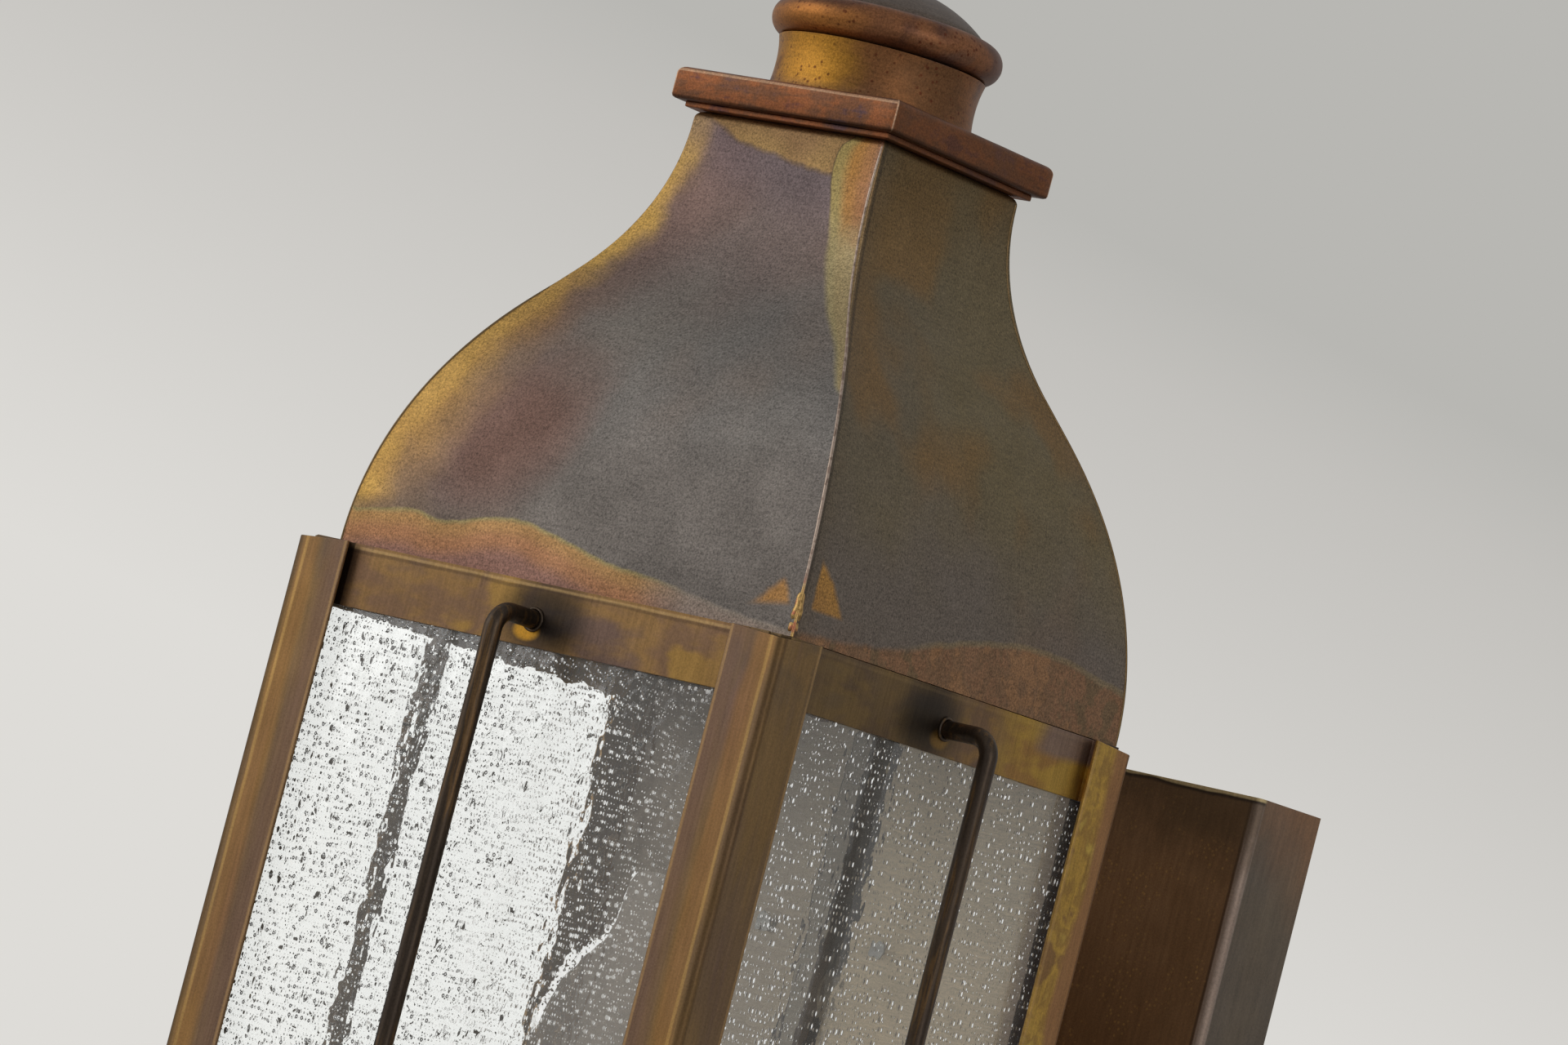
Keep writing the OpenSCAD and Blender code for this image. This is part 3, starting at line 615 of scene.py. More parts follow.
def rail_colour(finish):
    """Brown brass, darker beside the posts, golden at the far end of the sides, with a painted shadow round the rods'
    hooks, a painted golden glint below each hook, painted shade where the rails meet the posts and a painted highlight
    along the top edge.
    """
    x, y, z = finish.x, finish.y - BODY_Y, finish.z
    stain = finish.cloud(26, bend=0.4)
    haze = finish.cloud((30, 30, 70), 3.0, 0.55)
    sway, either = stain - 0.5, haze.rise(0.42, 0.58)
    side = abs(x).rise(BODY_HALF - 0.02, BODY_HALF - 0.01)
    ends = 1.0 - side
    below, drop = z - BODY_TOP, abs(z) - BODY_TOP
    near, far = (-y).rise(-0.03, 0.02), y.rise(0.018, 0.05)
    lilac = (below + 0.0085 + sway * 0.010).above(0.0018) * (y + sway * 0.03).rise(0.052, 0.064)
    gilt = mix(either, tone(182, 146, 66), tone(158, 118, 66))
    # painted shadow round each rod's hook, a painted glint below it, and painted shade where the rails meet the posts
    shadow = 1.0 - (((x - 0.004) * ends + (y + 0.010) * side) * 42) ** 2.0 - ((drop + 0.011) * 58) ** 2.0
    glow = 1.0 - ((x * ends + y * side + 0.002) * 150) ** 2.0 - ((drop + 0.0165) * 250) ** 2.0
    edge = 1.0 - side * 0.85
    gap_shade = x.rise(-0.0826, -0.0832) * ends + y.rise(0.0858, 0.0862) * side
    return coats(
        ramp(stain * 0.5 + haze * 0.5, (0.36, 112, 90, 78), (0.45, 142, 110, 70), (0.52, 126, 98, 74),
             (0.60, 156, 122, 68)),
        (side * near * 0.7, mix(either, tone(116, 96, 62), tone(96, 80, 60))),
        (side * far * 0.9, mix(lilac, gilt, tone(138, 114, 100))),
        (abs(x).least(abs(y)).rise(0.066, 0.084) * ends * 0.35, 120, 90, 68),
        # painted shadow round the hook
        (shadow.rise(0.0, 1.0) * 0.88, 44, 39, 35),
        # painted highlight along the top edge, with a dark line under it
        ((below + 0.0014).line(0.0008) * edge * 0.5, 190, 158, 108),
        ((below + 0.0025 + sway * 0.003).line(0.0009) * edge * 0.45, 76, 60, 46),
        # painted shade where the rails meet the posts
        (gap_shade * 0.8, 40, 30, 24),
        # painted golden glint below the hook
        (glow.rise(0.0, 0.8) * (0.85 - side * 0.6), 206, 152, 52))


def copper_colour(finish):
    """Copper brown with purple and orange heat marks along the length, with painted highlights on the top edge and
    mitres and painted shade along the bottom edge.
    """
    x, y, z = finish.x - ROOF_FOOT.x, finish.y - ROOF_FOOT.y, finish.z
    stain = finish.cloud((14, 14, 190), 4.0, 0.65, bend=0.3)
    spot, broad = finish.cloud(120, 3.0, 0.65), finish.cloud(34)
    front = (abs(y) - abs(x)).above()
    top, reach = high("cap_plate").z, high("cap_plate").x - ROOF_FOOT.x
    outside = abs(x).most(abs(y)).rise(reach - 0.004, reach - 0.002)
    return coats(
        ramp(stain * 0.3 + spot * 0.35 + broad * 0.35, (0.39, 96, 72, 72), (0.46, tones().copper),
             (0.53, 146, 91, 58), (0.60, 106, 70, 66)),
        ((1.0 - front) * 0.6, 108, 68, 41),
        # painted highlights along the top edge of the front faces and down the mitres
        ((z - top + 0.0012).line(0.0008) * outside * front * 0.75, 224, 180, 144),
        ((abs(x) - abs(y)).line(0.0006) * outside * 0.7, 226, 186, 152),
        # painted shade along the bottom edge
        (z.rise(top - 0.0098, top - 0.0108) * outside * 0.6, 66, 44, 32))


def spun_colour(finish):
    """Spun brass: neck golden where it faces the key light, its brass colour with painted light, with rust specks;
    russet bead with a painted highlight; grey-brown dome.
    """
    x, y, z = finish.x - ROOF_FOOT.x, finish.y - ROOF_FOOT.y, finish.z
    foot = low("chimney_cap").z
    stain = finish.cloud(36, 3.0, 0.55)
    sway = stain - 0.5
    # facing is 1 where the surface faces front and a little left, toward the key light; lit and gleam follow it, so
    # they are painted light
    facing = ((-y) * 0.94 - x * 0.34) / 0.0353
    upper = (z + sway * 0.02).rise(foot - 0.021, foot - 0.010)
    lit = (facing + sway * 0.9).rise(0.58, 1.02) * (upper * 0.85 + 0.15)
    bead = (z + sway * 0.004).rise(foot - 0.0006, foot + 0.0008)
    gleam = (facing + sway * 0.8).rise(0.66, 1.10) * (z + sway * 0.006).rise(foot + 0.0110, foot + 0.0070)
    dome = (z + sway * 0.003).rise(foot + 0.0126, foot + 0.0138)
    return coats(
        ramp(stain, (0.36, 112, 76, 50), (0.48, 136, 92, 58), (0.6, 116, 80, 52)),
        (facing.rise(0.35, 0.85) * (1.0 - upper) * 0.7, 126, 96, 82),
        # painted light: golden where the neck faces the key light, brass colour and painted light together
        (lit * 0.85, ramp(stain, (0.36, 162, 106, 44), (0.5, 200, 144, 54))),
        (bead, ramp(stain, (0.38, 106, 72, 56), (0.5, 138, 92, 62), (0.62, 112, 82, 68))),
        # painted highlight on the lit side of the bead
        (gleam * bead * 0.65, 190, 124, 54),
        (dome * 0.95, mix(stain.rise(0.4, 0.6), tone(110, 99, 90), tone(100, 89, 80))),
        (finish.specks(430, 0.14, 110, 0.43, 0.56) * (1.0 - dome) * 0.8, 92, 44, 26))


def rod_colour(finish):
    """Dark bronze with golden rubbed streaks along the rod."""
    return ramp(finish.cloud((420, 420, 26), 3.0, 0.6), (0.40, 66, 56, 48), (0.52, 74, 62, 51),
                (0.62, 104, 80, 54), (0.70, 76, 62, 50))


def plate_colour(finish):
    """Dark bronze front, folded edges painted lighter as a painted highlight, a painted highlight along the wavy top
    edge, and olive-brown sides with an orange bloom at the top.
    """
    corner = high("back_plate")
    behind = finish.y - low("back_plate").y
    stain = finish.cloud(16, 3.0, 0.55).rise(0.38, 0.62)
    wave = finish.cloud(70, 3.0, 0.55) - 0.5
    front = coats(mix(stain, tones().bronze, tone(132, 98, 66)),
                  (finish.specks(520, 0.16, 90, 0.44, 0.6) * 0.35, 206, 158, 90))
    bloom = (finish.z + wave * 0.02 + finish.y * 0.6).rise(corner.z - 0.05, corner.z - 0.004)
    side = coats(mix(stain, tone(109, 95, 78), tone(101, 89, 76)), (bloom * 0.55, 160, 112, 72))
    past, below = abs(finish.x) - corner.x, finish.z - corner.z
    fold, near = behind.rise(0.0034, 0.0024), behind.rise(0.004, 0.002)
    wavy = below + 0.0008 + (finish.cloud(46, 1.0) - 0.5) * 0.007
    return coats(
        front, (behind.rise(0.0008, 0.0030), side),
        # painted highlight on the fold
        ((past + 0.0034 + wave * 0.0012).rise(-0.0006, 0.0004) * fold * 0.85, 160, 141, 128),
        ((past + 0.0040).line(0.0009) * fold * 0.7, 66, 48, 36),
        ((below + 0.036 + wave * 0.04).rise(0.0, 0.032) * near * 0.65, 86, 68, 47),
        (wavy.rise(-0.0016, -0.0004) * near * 0.8, 48, 38, 30),
        # painted highlight along the wavy top edge
        (wavy.rise(-0.0002, 0.0005) * near * 0.8, 214, 190, 140))


def panel_colour(finish):
    """Warm grey of the back panel, painted lighter toward the top as painted light, darker on its left half, with
    painted shade along its left and right edges and a painted black shadow beside the wire channel.
    """
    x, z = finish.x, finish.z
    share = finish.cloud(30, 3.0, 0.55)
    torn = (finish.cloud(240, 3.0, 0.6) - 0.5) * 0.010
    # painted shadow of the wire channel, black, beside it
    channel_shadow = (x - high("wire_channel").x).rise(-0.0005, 0.0) * (x + torn).rise(0.0122, 0.0112)
    return coats(
        mix(share.rise(0.35, 0.65), tone(230, 208, 175), tone(220, 200, 169)),
        # painted light toward the top
        (z.rise(0.01, 0.07) * 0.6, 238, 220, 192),
        ((x + (share - 0.5) * 0.03).rise(0.02, -0.03) * 0.85, 174, 160, 144),
        # painted shade along the left edge
        ((x + (share - 0.5) * 0.05).rise(-0.045, -0.080) * 0.7, 120, 109, 99),
        # painted shade beside the back right post: violet, then a dark strip at the edge
        (x.rise(0.0775, 0.0870) * 0.55, 116, 100, 116),
        (x.rise(0.0868, 0.0874), 36, 29, 38),
        (channel_shadow * (z + torn * 4).rise(-0.015, 0.035) * 0.97, 12, 11, 11))


def channel_colour(finish):
    """The wire channel: coloured like the panel, with painted shade on its sides, less so lower down."""
    edge = high("wire_channel").x
    # painted shade on the channel's sides
    dark = mix(finish.z.rise(0.01, 0.05), tone(96, 84, 74), tone(30, 26, 24))
    return mix(abs(finish.x).rise(edge - 0.0012, edge - 0.0004), tone(150, 140, 124), dark)


def plain_metal(name, colour):
    def mottled(finish):
        return mix(finish.cloud(45, 3.0, 0.55).rise(0.35, 0.65), colour, tuple(c * 0.88 for c in colour))
    return metal(name, mottled, (0.35, 0.5))


def solder():
    """Bright on the front right hip, painted brown on the others as painted shade, golden at the foot."""
    finish = Finish("solder")
    share = finish.cloud(260, 3.0, 0.6)
    golden = ramp(share, (0.36, 142, 112, 70), (0.5, 196, 160, 100), (0.64, 190, 122, 92))
    lit = (finish.x - ROOF_FOOT.x).rise(0.0, 0.01) * (finish.y - ROOF_FOOT.y).rise(0.0, -0.01)
    colour = coats(
        ramp(share, (0.36, 138, 118, 104), (0.5, 186, 166, 150), (0.64, 160, 138, 124)),
        ((finish.z - ROOF_FOOT.z).rise(0.022, 0.014), golden))
    # painted shade: every hip but the front right one is painted dark brown
    return finish.done(finish.surface(
        Metallic=0.95, Base_Color=mix(lit, tone(118, 96, 66), colour),
        Roughness=share.rise(0.3, 0.7) * 0.2 + 0.3, Normal=finish.bump(finish.cloud(700, 3.0), 0.0001, 0.5)))


def dull(name, colour, roughness):
    finish = Finish(name)
    share = finish.cloud(80, 3.0, 0.55)
    return finish.done(finish.surface(
        Base_Color=mix(share.rise(0.3, 0.7) * 0.6, colour, tuple(c * 0.82 for c in colour)),
        Roughness=share * 0.2 + roughness - 0.1, Normal=finish.bump(finish.cloud(400), 0.0001, 0.4)))


MAKERS = {
    "roof": lambda: metal("stained_roof_brass", roof_colour, rubbed=0.15, speckle=2.9),
    "post": lambda: metal("stained_post_brass", post_colour, (0.42, 0.54), (900, 900, 50)),
    "rail": lambda: metal("stained_rail_brass", rail_colour, (0.42, 0.54), (900, 900, 50)),
    "copper": lambda: metal("cap_copper", copper_colour, (0.44, 0.56), (90, 90, 900), 0.25, speckle=2.2),
    "spun": lambda: metal("spun_brass", spun_colour, (0.42, 0.54), (60, 60, 900), 0.25, speckle=2.2),
    "rod": lambda: metal("rubbed_bronze_rod", rod_colour, (0.34, 0.46), (900, 900, 60)),
    "plate": lambda: metal("back_plate_bronze", plate_colour, (0.44, 0.56), (600, 600, 60), metallic=0.55),
    "panel": lambda: metal("painted_panel", panel_colour, (0.5, 0.6), metallic=0.2),
    "channel": lambda: metal("painted_channel", channel_colour, (0.5, 0.6), metallic=0.2),
    "steel": lambda: plain_metal("zinc_plated_steel", tones().steel),
    "green": lambda: plain_metal("green_screw", tone(70, 120, 72)),
    "solder": solder,
    "ivory": lambda: dull("ivory_candle", tone(226, 214, 184), 0.55),
    "black": lambda: dull("black_socket", tone(40, 38, 36), 0.5),
    "rubber": lambda: dull("rubber_grommet", tone(34, 34, 34), 0.7),
}
made = {}


def finish_of(name):
    """A finish that is made once and shared by its name."""
    if name not in made:
        made[name] = MAKERS[name]()
    return made[name]


def glass(side):
    """Rippled glass full of air seeds, with a veil on its weathered face.

    Seeds are painted dark against the bright surroundings behind the left pane; in the other two they catch light,
    partly through their bumps, and their cores are painted pale and glow, a painted glint.
    Lamps light what is behind the glass, so shadow rays pass."""
    settings = bpy.context.scene.lantern_glass
    finish = Finish("seeded_glass_" + side)
    cloud = finish.cloud
    x, y, z = finish.x, finish.y, finish.z
    spot = middle("glass_" + side)
    along = x if side == "front" else y
    outward = {"front": spot.y - y, "right": x - spot.x, "left": spot.x - x}[side]
    ripple = cloud(260, 3.0, 0.6) - 0.5
    dark, pale = (0.03, 0.03, 0.03), (0.98, 0.98, 0.96)

    def maths(operation, *terms, output=0):
        return finish.node("VectorMath", {"operation": operation}, dict(enumerate(terms)), output)

    def seeds(spacing, size, tall, shift, aside=0.0):
        """1 in the middle of each seed, 0 at its rim; the seeds differ in size."""
        size *= settings.seed_size
        where = finish.node("CombineXYZ", {}, {0: along + shift + aside, 1: z + shift})
        cell = finish.node("TexVoronoi", {"voronoi_dimensions": "2D"},
                           {"Vector": where, "Scale": 1 / (settings.seed_spacing * spacing), "Randomness": 0.85},
                           "Color")
        away = maths("MULTIPLY", maths("SUBTRACT", where, cell.other("Position")), (1.0, 1 / tall, 0.0))
        return (1.0 - maths("LENGTH", away, output="Value") / (cell.rise(0.15, 0.85) * size + size * 0.15)).most(0.0)

    gathered = cloud(60).rise(0.42, 0.54)
    if side == "left":
        seed = seeds(1.4, 0.70, 1.3, 0.11).most(seeds(2.6, 1.0, 1.8, 0.53))
        covered, inner, veil = seed.rise(0.0, 0.14), (0.008, 0.008, 0.008), 0.0
        sparkle = {}
    elif side == "right":
        seed = seeds(1.35, 0.64, 2.2, 0.23).most(seeds(0.75, 0.42, 1.9, 0.41) * gathered)
        core = seeds(1.35, 0.52, 2.2, 0.23, 0.00014).most(seeds(0.75, 0.34, 1.9, 0.41, 0.00008) * gathered)
        core = core.rise(0.05, 0.25)
        covered, inner, veil = seed.rise(0.0, 0.2) * (core * 0.35 + 0.6), mix(core, dark, pale), settings.veil * 0.8
    else:
        seed = seeds(0.95, 0.74, 1.25, 0.23)
        core = seed.rise(0.62, 0.75).most(x.rise(-0.005, 0.012) * gathered)
        seed = seed.most(seeds(0.60, 0.36, 1.15, 0.41))
        covered = seed.rise(0.0, 0.12) * 0.92 * (1.0 - x.rise(0.0, 0.03) * 0.55)
        # painted light: a pool of light with a bright edge, as falls on the back panel below the roof's shadow,
        # painted on the front pane; the edge is painted pale and glows, with a paler part below it
        over = z - (profile(
            x - 0.040, 0.030, (0.0, 0.0040), (0.0011, 0.0062), (0.0041, 0.0153), (0.0076, 0.0264), (0.0134, 0.0342),
            (0.0220, 0.0444), (0.0241, 0.0523), (0.0253, 0.0633), (0.030, 0.068)) - 0.030)
        right_part = x.rise(0.0400, 0.0425)
        ragged = ripple * 0.016 + (cloud(700) - 0.5) * 0.008
        thick = 0.0098 - (x - 0.044) * 0.38
        bright = (over + ragged * 0.12).rise(-0.0006, 0.0002) * (thick - over - ragged).rise(-0.0004, 0.0010)
        bright = bright * right_part * x.rise(0.069, 0.066) * cloud(900).rise(0.38, 0.45)
        inner = mix(bright, mix(core, dark, pale), pale)
        covered, core = covered.most(bright * 0.92), core.most(bright)
        # painted light: the paler part below the bright edge
        veil = over.rise(0.0004, -0.0004) * right_part * 0.16 + settings.veil

    waves = cloud((105, 105, 60), 2.0, 0.55) * (0.5 if side == "right" else 1.0)
    waves = waves + cloud(260) * {"front": 0.05, "right": 0.03, "left": 0.10}[side]
    seed_depth = settings.seed_depth * (0.35 if side == "front" else 1.0)
    clear = finish.surface(
        Base_Color=settings.tint, Roughness=0.0, IOR=1.5, Transmission_Weight=1.0,
        Normal=finish.bump(seed ** 0.6, seed_depth, Normal=finish.bump(waves, settings.ripple)))
    # painted glint: the seeds' cores, and on the front pane the painted light edge, glow
    if side != "left":
        sparkle = {"Emission_Strength": 1.0,
                   "Emission_Color": mix(core * covered.rise(0.0, 0.5), (0.0, 0.0, 0.0), (0.36, 0.36, 0.35))}
    crust = finish.surface(Roughness=0.7, Specular_IOR_Level=0.2, Base_Color=mix(covered, (0.80, 0.74, 0.66), inner),
                           **sparkle)
    body = blend(covered.most(veil) * outward.above(), clear, crust)
    through = finish.node("BsdfTransparent", {}, {0: (0.92, 0.93, 0.92)})
    return finish.done(blend(finish.seen_by("Shadow", "Diffuse"), body, through))


# ---- Pieces ----

def ogee():
    """The roof's section as (half width, height over its edge), from the edge to the shoulder."""
    roof = bpy.context.scene.lantern_roof
    belly, throat, lean = roof.belly_radius, roof.throat_radius, roof.lean
    belly_steps, straight_steps, throat_steps = 26, 3, 18
    outward = [(ROOF_HALF - belly + belly * math.cos(turn), belly * math.sin(turn))
               for turn in (lean * k / belly_steps for k in range(belly_steps + 1))]
    centre = roof.throat_half + throat
    start_x, (end_x, end_z) = centre - throat * math.cos(lean), outward[-1]
    start_z = end_z + (end_x - start_x) / math.tan(lean)
    top = start_z + throat * math.sin(lean)
    straight = [((end_x * (straight_steps - k) + start_x * k) / straight_steps,
                 (end_z * (straight_steps - k) + start_z * k) / straight_steps) for k in range(1, straight_steps)]
    inward = [(centre - throat * math.cos(turn), top - throat * math.sin(turn))
              for turn in (lean * (1 - k / throat_steps) for k in range(throat_steps + 1))]
    shoulder = arc((roof.throat_half - roof.shoulder, ROOF_RISE - roof.shoulder), roof.shoulder, 0, 90, 6)
    return outward + straight + inward + shoulder


class LanternOperator:
    bl_options = {"REGISTER", "UNDO"}


class LANTERN_OT_roof_sheets(LanternOperator, bpy.types.Operator):
    """Bends, mitres and beats the four ogee sheets of the roof"""
    bl_idname = "lantern.roof_sheets"
    bl_label = "Roof Sheets"

    def execute(self, context):
        roof = context.scene.lantern_roof
        turned_in, spare = 0.030, 0.004
        section = ogee()
        section.append((turned_in, section[-1][1]))
        reach = ROOF_HALF + spare
        sheet = draw("roof_sheet_front", [(ROOF_FOOT.x - reach, ROOF_FOOT.y - half, ROOF_FOOT.z + rise)
                                          for half, rise in section])
        everything()
        extrude((2 * reach, 0, 0))
        cut_edges(sheet, lambda way: abs(way.x) > reach, 60)
        for side in (-1, 1):
            everything()
            bpy.ops.mesh.bisect(plane_co=(ROOF_FOOT.x, ROOF_FOOT.y, 0), plane_no=(side, 1, 0), clear_outer=True,
                                threshold=1e-7)
        weld()
        bpy.ops.mesh.flip_normals()
        leave()
        for name, turn in (("right", 90), ("back", 180), ("left", 270), ("front", 0)):
            piece = turned_copy(sheet, "roof_sheet_" + name, turn, ROOF_FOOT) if turn else sheet
            uneven(piece, 0.045, roof.beating)
            modify(piece, "SOLIDIFY", thickness=roof.sheet, offset=-1.0)
            smooth(piece, 30)
            dress(piece, finish_of("roof"), "roof", "roof_panel_" + name)
        return {"FINISHED"}


class LANTERN_OT_hip_seams(LanternOperator, bpy.types.Operator):
    """Runs uneven solder down the four hips, with a smear at the foot of the front right one"""
    bl_idname = "lantern.hip_seams"
    bl_label = "Hip Seams"

    def execute(self, context):
        radius = context.scene.lantern_roof.seam
        slip_most, slip_at, slip_reach = 0.0014, 0.138, 0.040
        section = ogee()[:-5]
        places = [(h0 + (h1 - h0) * share, z0 + (z1 - z0) * share)
                  for (h0, z0), (h1, z1) in zip(section, section[1:]) for share in (0.0, 0.5)]
        runs = []
        for number, (sx, sy, aside) in enumerate(((1, -1, (-1, 0, 0)), (1, 1, (0, -1, 0)), (-1, 1, (1, 0, 0)),
                                                  (-1, -1, (0, 1, 0)))):
            points, radii = [], []
            for half, rise in places:
                wobble = noise.noise(Vector((rise * 30, number * 7.0, 1.0))) * 0.00012
                half -= radius * 0.5
                slip = slip_most * max(0.0, 1 - ((rise - slip_at) / slip_reach) ** 2)
                points.append(ROOF_FOOT + Vector(aside) * slip
                              + Vector((sx * (half + wobble), sy * (half - wobble), rise)))
                radii.append(1.0 + 0.15 * noise.noise(Vector((rise * 30, number * 5.0, 4.0))))
            runs.append(tube(f"seam_{number}", points, radius, 12, radii))
        for rise, size, tall in ((0.0088, 0.0017, 3.9), (0.0034, 0.0019, 1.4)):
            nothing_selected()
            inset = ROOF_HALF - size * 0.84
            bpy.ops.mesh.primitive_ico_sphere_add(subdivisions=4, radius=size, scale=(1, 1, tall),
                                                  location=ROOF_FOOT + Vector((inset, -inset, rise)))
            blob = apply_place(context.object)
            uneven(blob, 0.0030, 0.0009)
            runs.append(blob)
        seams = join(runs, "solder_hips")
        smooth(seams, 60)
        dress(seams, finish_of("solder"), "roof", "hip_seams")
        return {"FINISHED"}


class LANTERN_OT_cap_plate(LanternOperator, bpy.types.Operator):
    """Folds the mitred cap plate with eased top edges"""
    bl_idname = "lantern.cap_plate"
    bl_label = "Cap Plate"

    def execute(self, context):
        lo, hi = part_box("cap_plate")
        half, tall = (hi.x - lo.x) / 2, hi.z - lo.z
        rounding = 0.0027
        section = [(half - 0.0085, 0.0012), (half - 0.0085, 0.0), (half - 0.0010, 0.0), (half - 0.0003, 0.0004),
                   (half, 0.0012), *arc((half - rounding, tall - rounding), rounding, 0, 90, 6),
                   (half - 0.010, tall), (half - 0.016, tall), (0.030, tall)]
        centre = Vector((ROOF_FOOT.x, ROOF_FOOT.y, lo.z))
        plate = draw("cap_plate_copper", [(centre.x + w, centre.y + w, centre.z + h) for w, h in section])
        spin(centre, 4)
        cut_edges(plate, lambda way: abs(way.z) < TINY and way.length > 0.05, 23)
        everything()
        bpy.ops.mesh.normals_make_consistent(inside=False)
        leave()
        modify(plate, "SOLIDIFY", thickness=0.0012, offset=-1.0)
        modify(plate, "BEVEL", width=0.0009, segments=3, limit_method="ANGLE", angle_limit=math.radians(50))
        uneven(plate, 0.03, 0.0004)
        smooth(plate, 40)
        dress(plate, finish_of("copper"), "roof", "cap_plate")
        ease("cap_liner", "closing_plate_copper", 0.0004, finish_of("copper"), "roof")
        return {"FINISHED"}


class LANTERN_OT_chimney(LanternOperator, bpy.types.Operator):
    """Spins the waisted neck and the beaded, domed chimney cap"""
    bl_idname = "lantern.chimney"
    bl_label = "Chimney"

    def execute(self, context):
        lo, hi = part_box("chimney_neck")
        tall, foot = hi.z - lo.z, (hi.x - lo.x) / 2
        rim, waist, wall = 0.0364, 0.0353, 0.0014
        steps, flare, share = 14, 2.2, 0.94
        inside = waist - wall
        bend = [(waist + (rim - waist) * abs(2 * k / steps - share) ** flare, tall * (0.06 + share * k / steps))
                for k in range(1, steps + 1)]
        section = [(inside, 0.0), (foot, 0.0), (foot, 0.0006), (foot - 0.0005, 0.0012), (waist + 0.0012, 0.0013),
                   *bend, (rim - 0.0007, tall), (inside, tall), (inside, 0.0)]
        neck = turn_on_lathe("neck_spun", Vector((ROOF_FOOT.x, ROOF_FOOT.y, lo.z)), section)
        smooth(neck, 35)
        dress(neck, finish_of("spun"), "roof", "chimney_neck")

        lo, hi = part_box("chimney_cap")
        top, bead, bore = hi.z - lo.z, 0.0067, 0.00305
        bead_at = (hi.x - lo.x) / 2 - bead
        foot, foot_z = bead_at - 0.0016, bead * 2 + 0.0009
        rise = top - foot_z
        radius = (foot ** 2 + rise ** 2) / (2 * rise)
        dome = [(r, foot_z - (radius - rise) + math.sqrt(radius ** 2 - r ** 2))
                for r in (foot * (1 - k / 18) for k in range(18))]
        section = [(0.0, top - 0.005), (bore, top - 0.005), (bore, 0.0), (0.008, 0.0), (0.008, top - 0.0045),
                   (0.020, top - 0.0062), (foot - 0.004, foot_z - 0.0035), *arc((bead_at, bead), bead, 150, 448, 40),
                   (foot + 0.0004, bead * 2 + 0.0001), (foot + 0.0001, bead * 2 + 0.0004), *dome, (0.0, top)]
        cap = turn_on_lathe("chimney_cap_spun", Vector((ROOF_FOOT.x, ROOF_FOOT.y, lo.z)), section)
        smooth(cap, 50)
        dress(cap, finish_of("spun"), "chimney_cap", "chimney_cap")
        return {"FINISHED"}


class LANTERN_OT_frame(LanternOperator, bpy.types.Operator):
    """Eases the folded edges of the posts and rails"""
    bl_idname = "lantern.frame"
    bl_label = "Posts and Rails"

    def execute(self, context):
        for part, finish in (("_post", "post"), ("_rail_", "rail")):
            for node in [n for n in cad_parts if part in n]:
                ease(node, node + "_brass", 0.0003, finish_of(finish))
        return {"FINISHED"}


class LANTERN_OT_guard_rods(LanternOperator, bpy.types.Operator):
    """Bends the guard rods and rings their holes"""
    bl_idname = "lantern.guard_rods"
    bl_label = "Guard Rods"

    def execute(self, context):
        lo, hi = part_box("guard_rod_front")
        radius, bend, sway = 0.003175, 0.007, 0.00022
        axis_y, inner = lo.y + radius, hi.y
        top = hi.z - radius - 0.0013
        turns = [math.radians(90 * k / 10) for k in range(1, 11)]
        half = [(axis_y, (top - bend) * k / 24) for k in range(25)]
        half += [(axis_y + bend - bend * math.cos(a), top - bend + bend * math.sin(a)) for a in turns]
        half.append((inner, top))
        points = [(y, -z) for y, z in reversed(half)][:-1] + half
        wavy = [(sway * noise.noise(Vector((z * 16, 2.0, 0.0))), y + sway * noise.noise(Vector((z * 16, 9.0, 0.0))), z)
                for y, z in points]
        parts = [tube("rod_bar", wavy, radius, 24)]
        for end in (-1, 1):
            nothing_selected()
            bpy.ops.mesh.primitive_torus_add(major_radius=radius + 0.0005, minor_radius=0.0006, major_segments=32,
                                             minor_segments=8, location=(0, inner - 0.0015, end * top),
                                             rotation=(math.pi / 2, 0, 0))
            ring = apply_place(context.object)
            uneven(ring, 0.003, 0.0005)
            parts.append(ring)
        rod = join(parts, "guard_rod_front_bronze")
        smooth(rod, 50)
        for side, turn in (("right", 90), ("left", 270), ("front", 0)):
            name = f"guard_rod_{side}"
            piece = turned_copy(rod, name + "_bronze", turn, Vector((0, BODY_Y, 0))) if turn else rod
            dress(piece, finish_of("rod"), "lantern", name)
        return {"FINISHED"}


class LANTERN_OT_panes(LanternOperator, bpy.types.Operator):
    """Grinds the panes' edges and fills the glass with seeds"""
    bl_idname = "lantern.panes"
    bl_label = "Glass Panes"

    def execute(self, context):
        for side in ("front", "right", "left"):
            ease("glass_" + side, "pane_" + side, 0.0003, glass(side))
        return {"FINISHED"}


class LANTERN_OT_back_plate(LanternOperator, bpy.types.Operator):
    """Eases the folded back plate, the arm and their fittings"""
    bl_idname = "lantern.back_plate"
    bl_label = "Back Plate and Arm"

    def execute(self, context):
        for node, name, width, finish, slot in (
                ("back_plate", "back_plate_folded", 0.0003, "plate", "dark_bronze"),
                ("back_plate_ends", "back_plate_closures", 0.0003, "plate", "dark_bronze"),
                ("box_arm", "arm_brass", 0.0006, "rail", "aged_brass"),
                ("wall_strap", "strap_steel", 0.0004, "steel", "plated_steel")):
            ease(node, name, width, finish_of(finish))
        for node in ("cap_nut_upper", "cap_nut_lower"):
            ease(node, node + "_turned", 0.0004, finish_of("rod"), node)
        return {"FINISHED"}


class LANTERN_OT_candles(LanternOperator, bpy.types.Operator):
    """Eases the rims of the candle sleeves"""
    bl_idname = "lantern.candles"
    bl_label = "Candles"

    def execute(self, context):
        ease("candle_sleeves", "candle_sleeves_ivory", 0.0004, finish_of("ivory"))
        return {"FINISHED"}


